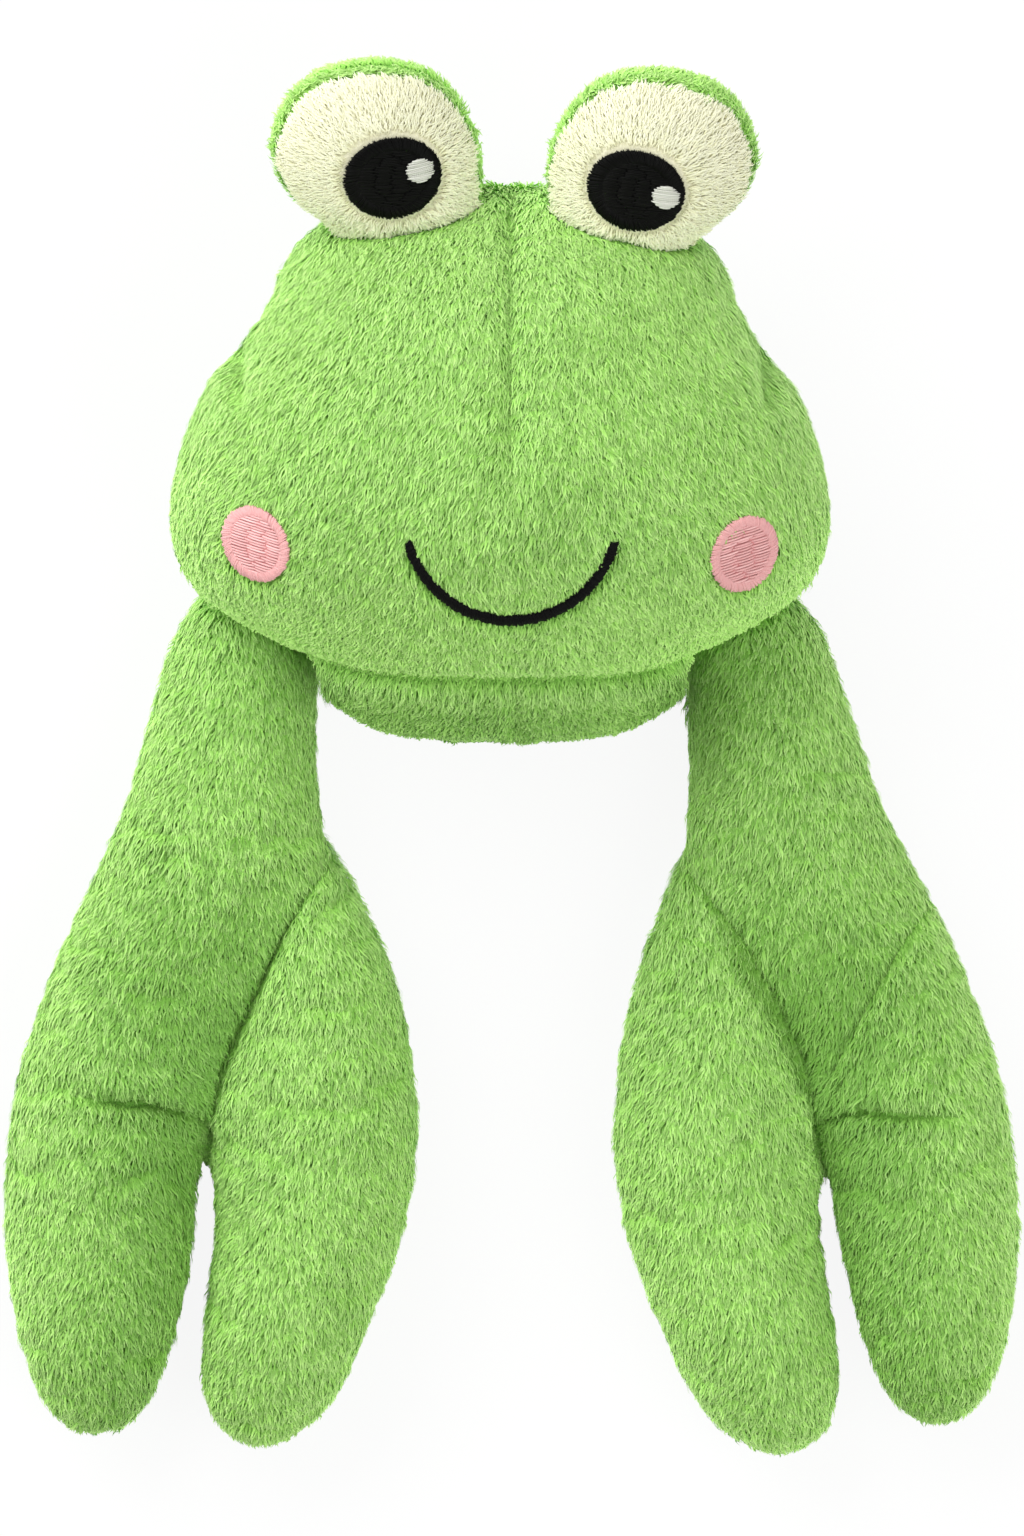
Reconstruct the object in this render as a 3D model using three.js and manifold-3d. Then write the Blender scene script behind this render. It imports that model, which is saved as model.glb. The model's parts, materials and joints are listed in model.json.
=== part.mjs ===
// Stuffed crab toy lying on its back: a plush head with eye pads and two jointed arms with claws.
// Millimetres; +Z is up from the floor, +Y points to the eyes, -X is the left side of the face.
import * as THREE from 'three';
import { mergeVertices, toCreasedNormals } from 'three/addons/utils/BufferGeometryUtils.js';
import Module from 'manifold-3d';

const wasm = await Module();
wasm.setup();

// Fabric, thread and clearances
const SKIN = 2; // plush fabric with its pile pressed flat
const GAP = 0.3; // clearance between neighbouring pieces
const SETTLE = 0.5; // depth to which the lying toy is pressed flat on the floor
const THREAD = 0.8; // height of an embroidered patch

// Head
const HEAD_LENGTH = 137.5; // crown to belly
const HEAD_WIDTH = 165; // across the cheeks
const FACE_DEPTH = 66; // side seam to the face
const BACK_DEPTH = 46; // side seam to the floor
const SNOUT_RISE = 5; // snout above the face
const SNOUT_SPREAD = 22; // how far the snout bulge reaches
const SNOUT_Y = -14; // snout below the middle of the head
const FACE_TURN = 2.8; // features stand this far to the right of the middle
const FACE_DROP = 1.2; // features sit this much lower on the right and higher on the left
const CHIN_SEAM_UP = 14.7; // chin seam above the lower end where it crosses the front
const CHIN_SEAM_RISE = 36; // height of that crossing above the side seam
const CHIN_SEAM_TILT = 13; // degrees that the chin seam leans
const DART_WIDTH = 1.2; // groove of the centre dart
const DART_DEPTH = 1.2;

// Eye pads
const EYE_WIDTH = 52;
const EYE_HEIGHT = 42; // base to top along the pad
const EYE_THICK = 29;
const EYE_SPREAD = 32; // pad centre from the middle of the face
const EYE_DROP = 7.2; // base of a pad below the crown
const EYE_LEAN = 25; // degrees that the pads tip towards the face
const EYE_SPLAY = 8; // degrees that the pads tip outwards
const EYE_TUCK = 5; // outer side of a pad drawn in at its base
const EYE_FLARE = 2.5; // inner side spread at its base
const EYE_SEAM = 5; // seam of the front panel ahead of the middle of the pad

// Embroidery
const PUPIL_WIDTH = 24;
const PUPIL_HEIGHT = 21.5;
const PUPIL_UP = 16; // pupil centre above the base of the pad
const PUPIL_IN_LEFT = 3.6; // pupil centre towards the middle of the face
const PUPIL_IN_RIGHT = 2;
const GLINT_SIZE = 6.6;
const GLINT_SIDE = 6.9; // glint to the right of the pupil centre
const GLINT_UP_LEFT = 2.2; // glint above the pupil centre
const GLINT_UP_RIGHT = -1.6;
const CHEEK_LENGTH = 19;
const CHEEK_HEIGHT = 15;
const CHEEK_INSET = 22.5; // spot centre from the side of the head
const CHEEK_Y = -20.6;
const CHEEK_TILT = 58; // degrees
const SMILE_RADIUS = 26.5;
const SMILE_UP = 57.2; // centre of the smile's arc above the lower end of the head
const SMILE_SPAN = 146; // degrees
const SMILE_WIDTH = 3;

// Squeaker
const BULB_DIAMETER = 38;
const BULB_HEIGHT = 24;
const BULB_WALL = 1.4;
const BULB_Z = 46; // underside of the bulb above the floor
const NECK_DIAMETER = 13;
const NECK_LENGTH = 7;
const REED_BORE = 3;

// Arms, measured outwards and downwards from the shoulder
const SHOULDER_UP = 27.2; // shoulder above the lower end of the head
const SHOULDER_SLANT = 20; // degrees that the shoulder fold leans
const SHOULDER_TUCK = 7; // root of the arm behind the fold, under the jaw
const SHOULDER_RISE = 1; // fold above the top of the arm
const SWING_BACK = 12; // degrees that an arm can swing back from lying flat
const ROOT_REACH = 45; // arm above the shoulder before the head cuts it
const ARM_LENGTH = 199; // shoulder to the outer fingertip
const ARM_WIDTH = 32;
const ARM_THICK = 37;
const ARM_OUT = 5.7; // arm centre outside the shoulder
const ROOT_UP = 20; // arm under the jaw, above the shoulder
const ROOT_WIDTH = 18.2;
const ROOT_OUT = -1.2;
const WRIST_DOWN = 43;
const WRIST_WIDTH = 45.3;
const WRIST_OUT = 11.2;
const PALM_WIDTH = 60;
const PALM_DOWN = 71;
const PALM_OUT = 17.3;
const PALM_THICK = 40;
const CLAW_THICK = 41;
const KNUCKLE_DOWN = 104; // where the palm turns into the outer finger
const KNUCKLE_WIDTH = 56;
const CREASE_DOWN = 120; // crease across the root of the outer finger
const FINGER_DOWN = 135; // where the outer finger runs straight
const FINGER_WIDTH = 47;
const OUTER_OUT = 41.8; // centre of the outer finger
const TIP_WIDTH = 40; // width towards which the outer finger tapers
const TIP_ROUND = 38; // length over which a fingertip rounds off
const RIGHT_ARM_SPLAY = 2.8; // degrees that the right arm lies further out

// Inner fingers, in the frame of the arm
const INNER_TOP = 52; // pointed upper end
const INNER_BOTTOM = 203.5;
const INNER_WIDTH = 46.5;
const INNER_TOP_OUT = -12.4;
const INNER_MIDDLE_OUT = -11.3;
const INNER_TIP_OUT = 2.8;
const SEAM_TOP_OUT = -13.4; // slanted seam between palm and inner finger
const SEAM_TOP_DOWN = 57.5;
const CROTCH_OUT = 14.2;
const FINGER_GAP = 1.2; // room between the fingers where they part
const FOLD_DROP = 4.5; // fold line along that seam below the top of the claw
const PALM_SEAM_OUT = 43.7; // outer end of the seam that closes the palm to a V
const PALM_SEAM_DOWN = 70.5;
const PALM_SEAM_WIDTH = 1.2;
const PALM_SEAM_DEPTH = 1.2;

const REACH = 600; // size of the blocks used for cutting
const UP = new THREE.Vector3(0, 0, 1);
const DOWN = new THREE.Vector3(0, 0, -1);
const radians = THREE.MathUtils.degToRad;
const between = THREE.MathUtils.lerp;

// Turns a closed geometry into a solid for adding and cutting.
function solid(geometry) {
  const bare = geometry.clone();
  bare.deleteAttribute('normal');
  bare.deleteAttribute('uv');
  const merged = mergeVertices(bare, 1e-4);
  const vertProperties = new Float32Array(merged.attributes.position.array);
  const triVerts = new Uint32Array(merged.index.array);
  return new wasm.Manifold(new wasm.Mesh({ numProp: 3, vertProperties, triVerts }));
}

// Turns a solid back into a geometry.
function geometryOf(body) {
  const mesh = body.getMesh();
  const geometry = new THREE.BufferGeometry();
  geometry.setAttribute('position', new THREE.Float32BufferAttribute(mesh.vertProperties, 3));
  geometry.setIndex(Array.from(mesh.triVerts));
  return toCreasedNormals(geometry, radians(40));
}

// Smooth curve through [place, value] pairs, level beyond both ends.
function through(...pairs) {
  const last = pairs.length - 1;
  const slope = (i) => {
    const before = pairs[Math.max(i - 1, 0)];
    const after = pairs[Math.min(i + 1, last)];
    return (after[1] - before[1]) / (after[0] - before[0]);
  };
  return (place) => {
    const held = THREE.MathUtils.clamp(place, pairs[0][0], pairs[last][0]);
    const next = Math.min(Math.max(pairs.findIndex((pair) => pair[0] > held), 1), last);
    const i = held >= pairs[last][0] ? last : next;
    const [x0, y0] = pairs[i - 1];
    const [x1, y1] = pairs[i];
    const span = x1 - x0;
    const s = (held - x0) / span;
    const rise = (slope(i - 1) * (1 - s) - slope(i) * s) * span;
    return y0 + (y1 - y0) * s * s * (3 - 2 * s) + rise * s * (1 - s);
  };
}

// Signed power, which squares off a circle into a fuller section.
const fuller = (value, fullness) => Math.sign(value) * Math.abs(value) ** (2 / fullness);

// Closed stuffed form: sections stacked from low to high along Y, drawn to a point at both ends.
// Each section gives its centre x and z and its half width and its reach above and below the centre.
function stuffedForm(levels, sides, section, bump = () => 0) {
  const points = [];
  const low = levels[0];
  const high = levels[levels.length - 1];
  const end = (y) => {
    const { x, z } = section(y);
    points.push(x, y, z);
  };
  end(low);
  for (const y of levels.slice(1, -1)) {
    const { x, z, half, above, below, full = 2.2 } = section(y);
    for (let i = 0; i < sides; i += 1) {
      const angle = (2 * Math.PI * i) / sides;
      const across = x + half * fuller(Math.cos(angle), full);
      const lift = fuller(Math.sin(angle), full);
      const height = z + lift * (lift > 0 ? above : below);
      points.push(across, y, height + Math.max(lift, 0) * bump(across, y));
    }
  }
  end(high);
  const index = [];
  const rows = levels.length - 2;
  const at = (row, i) => 1 + row * sides + (i % sides);
  for (let i = 0; i < sides; i += 1) {
    index.push(0, at(0, i), at(0, i + 1));
    for (let row = 0; row < rows - 1; row += 1) {
      index.push(at(row, i), at(row + 1, i), at(row + 1, i + 1));
      index.push(at(row, i), at(row + 1, i + 1), at(row, i + 1));
    }
    index.push(at(rows - 1, i), points.length / 3 - 1, at(rows - 1, i + 1));
  }
  const geometry = new THREE.BufferGeometry();
  geometry.setAttribute('position', new THREE.Float32BufferAttribute(points, 3));
  geometry.setIndex(index);
  geometry.computeVertexNormals();
  return geometry;
}

// The same form with its surface moved in (negative) or out along its normals.
function moved(geometry, distance) {
  const copy = geometry.clone();
  const { position, normal } = copy.attributes;
  for (let i = 0; i < position.count; i += 1) {
    const shift = new THREE.Vector3().fromBufferAttribute(normal, i).multiplyScalar(distance);
    const point = new THREE.Vector3().fromBufferAttribute(position, i).add(shift);
    position.setXYZ(i, point.x, point.y, point.z);
  }
  return copy;
}

// Mirror image across the YZ plane, still facing outwards.
function mirrored(geometry) {
  const copy = geometry.clone().applyMatrix4(new THREE.Matrix4().makeScale(-1, 1, 1));
  const turned = Array.from(copy.index.array);
  for (let i = 0; i < turned.length; i += 3) {
    [turned[i + 1], turned[i + 2]] = [turned[i + 2], turned[i + 1]];
  }
  copy.setIndex(turned);
  copy.computeVertexNormals();
  return copy;
}

// Everything on the side of a plane that its normal points to.
function beyond(point, normal) {
  const block = new THREE.BoxGeometry(REACH, REACH, REACH).translate(0, 0, REACH / 2);
  const turn = new THREE.Quaternion().setFromUnitVectors(UP, normal.clone().normalize());
  block.applyQuaternion(turn).translate(point.x, point.y, point.z);
  return solid(block);
}

const heightOf = (z) => new THREE.Vector3(0, 0, z);
const aboveFloor = beyond(heightOf(0), UP);

// Levels spaced closer together towards both ends, or only towards the low end.
const bothEnds = (low, high, count) => Array.from({ length: count + 1 }, (_, i) => (
  (low + high) / 2 - ((high - low) / 2) * Math.cos((Math.PI * i) / count)));
const lowEnd = (low, high, count) => Array.from({ length: count + 1 }, (_, i) => (
  high - (high - low) * Math.cos((Math.PI * i) / (2 * count))));

// Prism straight along Z over an outline.
function prism(shape, low, high) {
  const options = { depth: high - low, bevelEnabled: false, curveSegments: 12 };
  const geometry = new THREE.ExtrudeGeometry(shape, options);
  return solid(geometry.translate(0, 0, low));
}

function ellipse(x, y, length, height, tilt = 0) {
  const shape = new THREE.Shape();
  shape.absellipse(x, y, length / 2, height / 2, 0, 2 * Math.PI, false, radians(tilt));
  return shape;
}

// Embroidered patch that follows the form under it, raised by so many layers of thread.
function patch(form, outline, layer = 0) {
  const foot = GAP + layer * (THREAD + GAP);
  const sheet = solid(moved(form, foot + THREAD)).subtract(solid(moved(form, foot)));
  return sheet.intersect(prism(outline, 0, REACH));
}

// Room cut from the surface of a form where a seam draws it in.
function groove(form, depth, run) {
  return solid(moved(form, depth)).subtract(solid(moved(form, -depth))).intersect(solid(run));
}

// Head form
const widthShare = through([-1, 1.4], [-0.9, 1.13], [-0.71, 0.79], [-0.6, 0.89], [-0.48, 1.01],
  [-0.3, 1.02], [0, 0.965], [0.3, 0.91], [0.5, 0.865], [0.65, 0.905], [0.87, 1.15], [1, 1.4]);
const depthShare = through([-1, 0.62], [-0.8, 0.8], [-0.55, 0.93], [-0.25, 1], [0.1, 0.96],
  [0.6, 0.86], [1, 0.66]);
const HEAD_Z = BACK_DEPTH - SETTLE;
const CROWN_Y = HEAD_LENGTH / 2;
const CHIN_SEAM_Y = CHIN_SEAM_UP - HEAD_LENGTH / 2;
const SHOULDER_Y = SHOULDER_UP - HEAD_LENGTH / 2;
const CHEEK_X = HEAD_WIDTH / 2 - CHEEK_INSET;
const SMILE_Y = SMILE_UP - HEAD_LENGTH / 2;

function headSection(y) {
  const level = THREE.MathUtils.clamp((2 * y) / HEAD_LENGTH, -1, 1);
  const round = Math.sqrt(1 - level * level);
  const half = (HEAD_WIDTH / 2) * widthShare(level) * round;
  const above = FACE_DEPTH * depthShare(level) * round;
  return { x: 0, z: HEAD_Z, half, above, below: BACK_DEPTH * round ** 0.75, full: 2.3 };
}

function snout(x, y) {
  const away = Math.hypot(x - FACE_TURN, y - SNOUT_Y) / SNOUT_SPREAD;
  return SNOUT_RISE * Math.exp(-away * away);
}

// Height of the face above the floor at a place in plan.
function faceHeight(x, y) {
  const { half, above, full } = headSection(y);
  const lift = Math.max(1 - (Math.abs(x) / half) ** full, 0) ** (1 / full);
  return HEAD_Z + lift * (above + snout(x, y));
}

const headForm = stuffedForm(bothEnds(-CROWN_Y, CROWN_Y, 13), 20, headSection, snout);

const materials = {
  plush: new THREE.MeshStandardMaterial({ color: 0x9ccc68, roughness: 0.95, metalness: 0 }),
  cream: new THREE.MeshStandardMaterial({ color: 0xece9c4, roughness: 0.95, metalness: 0 }),
  black: new THREE.MeshStandardMaterial({ color: 0x12110f, roughness: 0.7, metalness: 0 }),
  white: new THREE.MeshStandardMaterial({ color: 0xd6d6ca, roughness: 0.7, metalness: 0 }),
  pink: new THREE.MeshStandardMaterial({ color: 0xe6a5a2, roughness: 0.7, metalness: 0 }),
  fibre: new THREE.MeshStandardMaterial({ color: 0xf2f1ec, roughness: 1, metalness: 0 }),
  bulb: new THREE.MeshStandardMaterial({ color: 0xe9e6da, roughness: 0.45, metalness: 0 }),
  reed: new THREE.MeshStandardMaterial({ color: 0xc8cbd0, roughness: 0.4, metalness: 0 }),
};

function add(group, name, body, finish) {
  const mesh = new THREE.Mesh(geometryOf(body), materials[finish].clone());
  mesh.name = name;
  group.add(mesh);
}

const toy = new THREE.Group();
toy.name = 'crab_toy';

// Head panels, dart, stuffing and squeaker
const headShell = solid(headForm).subtract(solid(moved(headForm, -SKIN))).intersect(aboveFloor);
const frontShell = headShell.intersect(beyond(heightOf(HEAD_Z + GAP / 2), UP));
const chinPoint = new THREE.Vector3(0, CHIN_SEAM_Y, HEAD_Z + CHIN_SEAM_RISE);
const chinLean = radians(CHIN_SEAM_TILT);
const chinNormal = new THREE.Vector3(0, Math.cos(chinLean), Math.sin(chinLean));
const chinEdge = (offset) => chinPoint.clone().addScaledVector(chinNormal, offset);
const dartBlock = new THREE.BoxGeometry(DART_WIDTH, REACH, REACH)
  .translate(FACE_TURN, SNOUT_Y + REACH / 2, 0);
const dart = groove(headForm, DART_DEPTH, dartBlock);
const aboveChin = beyond(chinEdge(GAP / 2), chinNormal);
const belowChin = beyond(chinEdge(-GAP / 2), chinNormal.clone().negate());
add(toy, 'face_panel', frontShell.intersect(aboveChin).subtract(dart), 'plush');
add(toy, 'belly_panel', frontShell.intersect(belowChin), 'plush');
add(toy, 'back_panel', headShell.intersect(beyond(heightOf(HEAD_Z - GAP / 2), DOWN)), 'plush');

const bulbTop = BULB_Z + BULB_HEIGHT;
const bulbMiddle = (BULB_Z + bulbTop) / 2;
function bulbProfile(inward) {
  const neck = NECK_DIAMETER / 2 - inward;
  const radius = BULB_DIAMETER / 2 - inward;
  const rise = BULB_HEIGHT / 2 - inward;
  const start = Math.asin(neck / radius);
  const curve = [];
  for (let i = 0; i <= 6; i += 1) {
    const angle = start + ((Math.PI - start) * i) / 6;
    curve.push(new THREE.Vector2(radius * Math.sin(angle), bulbMiddle - rise * Math.cos(angle)));
  }
  curve[6].x = 0;
  const mouth = BULB_Z - NECK_LENGTH - (inward > 0 ? 1 : 0);
  return [new THREE.Vector2(0, mouth), new THREE.Vector2(neck, mouth), ...curve];
}
const turned = (profile, sides) => solid(new THREE.LatheGeometry(profile, sides).rotateX(Math.PI / 2));
const pocketProfile = [[0, 0], [1, 0], [1, 1], [0, 1]].map(([side, end]) => new THREE.Vector2(
  side * (BULB_DIAMETER / 2 + GAP), end * (bulbTop + GAP)));
const headStuffing = solid(moved(headForm, -SKIN - GAP)).subtract(turned(pocketProfile, 16));
add(toy, 'head_stuffing', headStuffing, 'fibre');
const bulb = turned(bulbProfile(0), 16).subtract(turned(bulbProfile(BULB_WALL), 16));
add(toy, 'squeaker_bulb', bulb, 'bulb');
const reedRadius = NECK_DIAMETER / 2 - BULB_WALL - GAP;
const reedEnd = BULB_Z - NECK_LENGTH;
const reedProfile = [[REED_BORE / 2, -GAP - BULB_WALL], [NECK_DIAMETER / 2, -GAP - BULB_WALL],
  [NECK_DIAMETER / 2, -GAP], [reedRadius, -GAP], [reedRadius, NECK_LENGTH], [REED_BORE / 2, NECK_LENGTH],
  [REED_BORE / 2, -GAP - BULB_WALL]].map(([radius, up]) => new THREE.Vector2(radius, reedEnd + up));
add(toy, 'squeaker_reed', turned(reedProfile, 12), 'reed');

// Smile and cheeks
const smile = new THREE.Shape();
const smileStart = radians(270 - SMILE_SPAN / 2);
const smileEnd = radians(270 + SMILE_SPAN / 2);
smile.absarc(FACE_TURN, SMILE_Y, SMILE_RADIUS + SMILE_WIDTH / 2, smileStart, smileEnd, false);
smile.absarc(FACE_TURN, SMILE_Y, SMILE_RADIUS - SMILE_WIDTH / 2, smileEnd, smileStart, true);
const onFace = beyond(heightOf(HEAD_Z), UP);
add(toy, 'smile_embroidery', patch(headForm, smile).intersect(onFace), 'black');
for (const [side, sign] of [['left', -1], ['right', 1]]) {
  const y = CHEEK_Y - sign * FACE_DROP;
  const spot = ellipse(sign * CHEEK_X, y, CHEEK_LENGTH, CHEEK_HEIGHT, sign * CHEEK_TILT);
  add(toy, `${side}_cheek_embroidery`, patch(headForm, spot).intersect(onFace), 'pink');
}

// Eye pads
const padCentre = 0.45 * EYE_HEIGHT;
const PAD_FOOT = -0.45 * EYE_HEIGHT;
function padSection(y) {
  const reach = y > padCentre ? EYE_HEIGHT - padCentre : padCentre - PAD_FOOT;
  const round = Math.sqrt(Math.max(1 - ((y - padCentre) / reach) ** 2, 0));
  const thick = (EYE_THICK / 2) * round ** 0.9;
  const base = 1 - THREE.MathUtils.smoothstep(y, -0.07 * EYE_HEIGHT, 0.36 * EYE_HEIGHT);
  const half = (EYE_WIDTH / 2) * round - ((EYE_TUCK - EYE_FLARE) / 2) * base * round;
  const x = -((EYE_TUCK + EYE_FLARE) / 2) * base * round;
  return { x, z: 0, half, above: thick, below: thick, full: 2.1 };
}
const rightPad = stuffedForm(bothEnds(PAD_FOOT, EYE_HEIGHT, 7), 12, padSection);

for (const [side, sign] of [['left', -1], ['right', 1]]) {
  const group = new THREE.Group();
  const padForm = sign > 0 ? rightPad : mirrored(rightPad);
  const x = FACE_TURN + sign * EYE_SPREAD;
  const y = CROWN_Y - EYE_DROP - sign * FACE_DROP;
  group.position.set(x, y, faceHeight(x, y));
  group.rotation.set(radians(EYE_LEAN), 0, radians(-sign * EYE_SPLAY), 'ZYX');
  group.updateMatrix();
  const crown = moved(headForm, GAP).applyMatrix4(group.matrix.clone().invert());
  const offCrown = (body) => body.subtract(solid(crown));
  const padShell = offCrown(solid(padForm).subtract(solid(moved(padForm, -SKIN))));
  const inFront = beyond(heightOf(EYE_SEAM + GAP / 2), UP);
  const behind = beyond(heightOf(EYE_SEAM - GAP / 2), DOWN);
  add(group, `${side}_eye_front_panel`, padShell.intersect(inFront), 'cream');
  add(group, `${side}_eye_back_panel`, padShell.intersect(behind), 'plush');
  add(group, `${side}_eye_stuffing`, offCrown(solid(moved(padForm, -SKIN - GAP))), 'fibre');
  const pupilX = sign < 0 ? PUPIL_IN_LEFT : -PUPIL_IN_RIGHT;
  const pupil = ellipse(pupilX, PUPIL_UP, PUPIL_WIDTH, PUPIL_HEIGHT);
  add(group, `${side}_pupil_embroidery`, offCrown(patch(padForm, pupil)), 'black');
  const glintUp = PUPIL_UP + (sign < 0 ? GLINT_UP_LEFT : GLINT_UP_RIGHT);
  const glint = ellipse(pupilX + GLINT_SIDE, glintUp, GLINT_SIZE, GLINT_SIZE);
  add(group, `${side}_glint_embroidery`, patch(padForm, glint, 1), 'white');
  toy.add(group);
}

// Arms and fingers: places are given outwards from the shoulder and downwards along the arm
function tipShare(down, bottom) {
  const near = Math.max((down - bottom) / TIP_ROUND + 1, 0);
  return Math.sqrt(Math.max(1 - near * near, 0));
}
const armOut = through([-ROOT_UP, ROOT_OUT], [0, ARM_OUT], [WRIST_DOWN, WRIST_OUT], [PALM_DOWN, PALM_OUT],
  [KNUCKLE_DOWN, between(PALM_OUT, OUTER_OUT, 0.62)], [FINGER_DOWN, OUTER_OUT], [ARM_LENGTH, OUTER_OUT]);
const armWidth = through([-ROOT_UP, ROOT_WIDTH], [0, ARM_WIDTH], [WRIST_DOWN, WRIST_WIDTH],
  [PALM_DOWN, PALM_WIDTH], [KNUCKLE_DOWN, KNUCKLE_WIDTH], [FINGER_DOWN, FINGER_WIDTH],
  [ARM_LENGTH, TIP_WIDTH]);
const armThick = through([0, ARM_THICK], [PALM_DOWN, PALM_THICK], [CREASE_DOWN, CLAW_THICK]);
function armSection(y) {
  const tip = tipShare(-y, ARM_LENGTH);
  const half = (tip * armWidth(-y)) / 2;
  const thick = armThick(-y) / 2;
  return { x: armOut(-y), z: thick - SETTLE, half, above: tip * thick, below: tip * thick };
}

const alongInner = (share) => between(INNER_TOP, INNER_BOTTOM, share);
const innerOut = through([INNER_TOP, INNER_TOP_OUT], [alongInner(0.4), INNER_MIDDLE_OUT],
  [alongInner(0.75), between(INNER_MIDDLE_OUT, INNER_TIP_OUT, 0.25)], [INNER_BOTTOM, INNER_TIP_OUT]);
const innerShare = through([INNER_TOP, 0], [alongInner(0.12), 0.46], [alongInner(0.25), 0.83],
  [alongInner(0.4), 1], [alongInner(0.6), 0.99], [INNER_BOTTOM, 0.83]);
function innerSection(y) {
  const tip = tipShare(-y, INNER_BOTTOM);
  const share = tip * innerShare(-y);
  const half = (INNER_WIDTH / 2) * share;
  const thick = (CLAW_THICK / 2) * tip * innerShare(-y) ** 0.7;
  return { x: innerOut(-y), z: CLAW_THICK / 2 - SETTLE, half, above: thick, below: thick };
}

const armForm = stuffedForm(lowEnd(-ARM_LENGTH, ROOT_REACH, 11), 12, armSection);
const innerForm = stuffedForm(bothEnds(-INNER_BOTTOM, -INNER_TOP, 9), 12, innerSection);
const CROTCH_DOWN = CREASE_DOWN;
const shoulderFoldZ = ARM_THICK - SETTLE + SHOULDER_RISE;
const innerFoldZ = CLAW_THICK - SETTLE - FOLD_DROP;

// Point of the shoulder: on the outline of the head at the height of the fold.
const shoulderSection = headSection(SHOULDER_Y);
const foldDrop = (HEAD_Z - shoulderFoldZ) / shoulderSection.below;
const SHOULDER_X = shoulderSection.half * (1 - Math.abs(foldDrop) ** shoulderSection.full)
  ** (1 / shoulderSection.full) + GAP;

function limb(side, sign, splay) {
  const group = new THREE.Group();
  group.position.set(sign * SHOULDER_X, SHOULDER_Y, 0);
  group.rotation.z = radians(sign * splay);
  group.updateMatrix();
  const across = (x) => sign * x;
  const hand = (geometry) => (sign > 0 ? geometry : mirrored(geometry));
  const arm = hand(armForm);
  const inner = hand(innerForm);

  // Fold of the shoulder, and the head as the root of the arm meets it while it swings back
  const slant = radians(SHOULDER_SLANT);
  const fold = heightOf(shoulderFoldZ);
  const foldAxis = new THREE.Vector3(across(Math.cos(slant)), Math.sin(slant), 0);
  const outAlongArm = new THREE.Vector3(across(Math.sin(slant)), -Math.cos(slant), 0);
  const rootPoint = (depth) => fold.clone().addScaledVector(outAlongArm, depth - SHOULDER_TUCK);
  const offHead = (body, depth) => [0, 0.5, 1].reduce((rest, share) => {
    const swing = new THREE.Quaternion().setFromAxisAngle(foldAxis, radians(-sign * share * SWING_BACK));
    const head = moved(headForm, GAP + depth)
      .applyMatrix4(group.matrix.clone().invert())
      .translate(0, 0, -shoulderFoldZ)
      .applyQuaternion(swing)
      .translate(0, 0, shoulderFoldZ);
    return rest.subtract(solid(head));
  }, body);

  // Planes that part the palm from both fingers
  const seamTop = new THREE.Vector3(across(SEAM_TOP_OUT), -SEAM_TOP_DOWN, innerFoldZ);
  const crotch = new THREE.Vector3(across(CROTCH_OUT), -CROTCH_DOWN, innerFoldZ);
  const alongSeam = crotch.clone().sub(seamTop).normalize();
  const toPalm = new THREE.Vector3(-alongSeam.y, alongSeam.x, 0).multiplyScalar(sign);
  const toFinger = toPalm.clone().negate();
  const seamPoint = (normal, depth) => crotch.clone().addScaledVector(normal, depth);
  const upArm = new THREE.Vector3(0, 1, 0);
  const downArm = new THREE.Vector3(0, -1, 0);
  const crease = (offset) => new THREE.Vector3(0, -CREASE_DOWN + offset, 0);

  // Each stuffed part: the room that it fills at a given depth below its outer surface
  const rooms = {
    arm: (depth) => offHead(solid(moved(arm, -depth))
      .intersect(beyond(rootPoint(depth), outAlongArm))
      .intersect(beyond(seamPoint(toPalm, GAP / 2 + depth), toPalm))
      .intersect(beyond(crease(GAP / 2), upArm)), depth),
    outer_finger: (depth) => solid(moved(arm, -depth))
      .intersect(beyond(crease(-GAP / 2), downArm))
      .subtract(solid(moved(inner, FINGER_GAP + depth))),
    inner_finger: (depth) => solid(moved(inner, -depth))
      .intersect(beyond(seamPoint(toFinger, GAP / 2 + depth), toFinger)),
  };
  const palmSeam = new THREE.Vector3(across(PALM_SEAM_OUT), -PALM_SEAM_DOWN, 0);
  const seamFoot = crotch.clone().lerp(palmSeam, 0.1);
  const seamRun = palmSeam.clone().sub(seamFoot).setZ(0);
  const seamBlock = new THREE.BoxGeometry(PALM_SEAM_WIDTH, seamRun.length(), REACH)
    .translate(0, seamRun.length() / 2, REACH / 2)
    .rotateZ(Math.atan2(-seamRun.x, seamRun.y))
    .translate(seamFoot.x, seamFoot.y, CLAW_THICK / 2);
  const palmGroove = groove(arm, PALM_SEAM_DEPTH, seamBlock);
  const seamZ = CLAW_THICK / 2 - SETTLE;
  const inFront = beyond(heightOf(seamZ + GAP / 2), UP);
  const behind = beyond(heightOf(seamZ - GAP / 2), DOWN);
  for (const [part, room] of Object.entries(rooms)) {
    const shell = room(0).subtract(room(SKIN)).intersect(aboveFloor).subtract(palmGroove);
    add(group, `${side}_${part}_front_panel`, shell.intersect(inFront), 'plush');
    add(group, `${side}_${part}_back_panel`, shell.intersect(behind), 'plush');
    add(group, `${side}_${part}_stuffing`, room(SKIN + GAP), 'fibre');
  }
  toy.add(group);

  // Fold lines of the joints, as points and directions in the frame of the arm
  return {
    group,
    arm: [fold, foldAxis],
    inner_finger: [seamTop.clone().add(crotch).multiplyScalar(0.5), alongSeam],
    outer_finger: [new THREE.Vector3(across(armOut(CREASE_DOWN)), -CREASE_DOWN, CLAW_THICK - SETTLE),
      new THREE.Vector3(across(1), 0, 0)],
  };
}

const limbs = { left: limb('left', -1, 0), right: limb('right', 1, RIGHT_ARM_SPLAY) };

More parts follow.
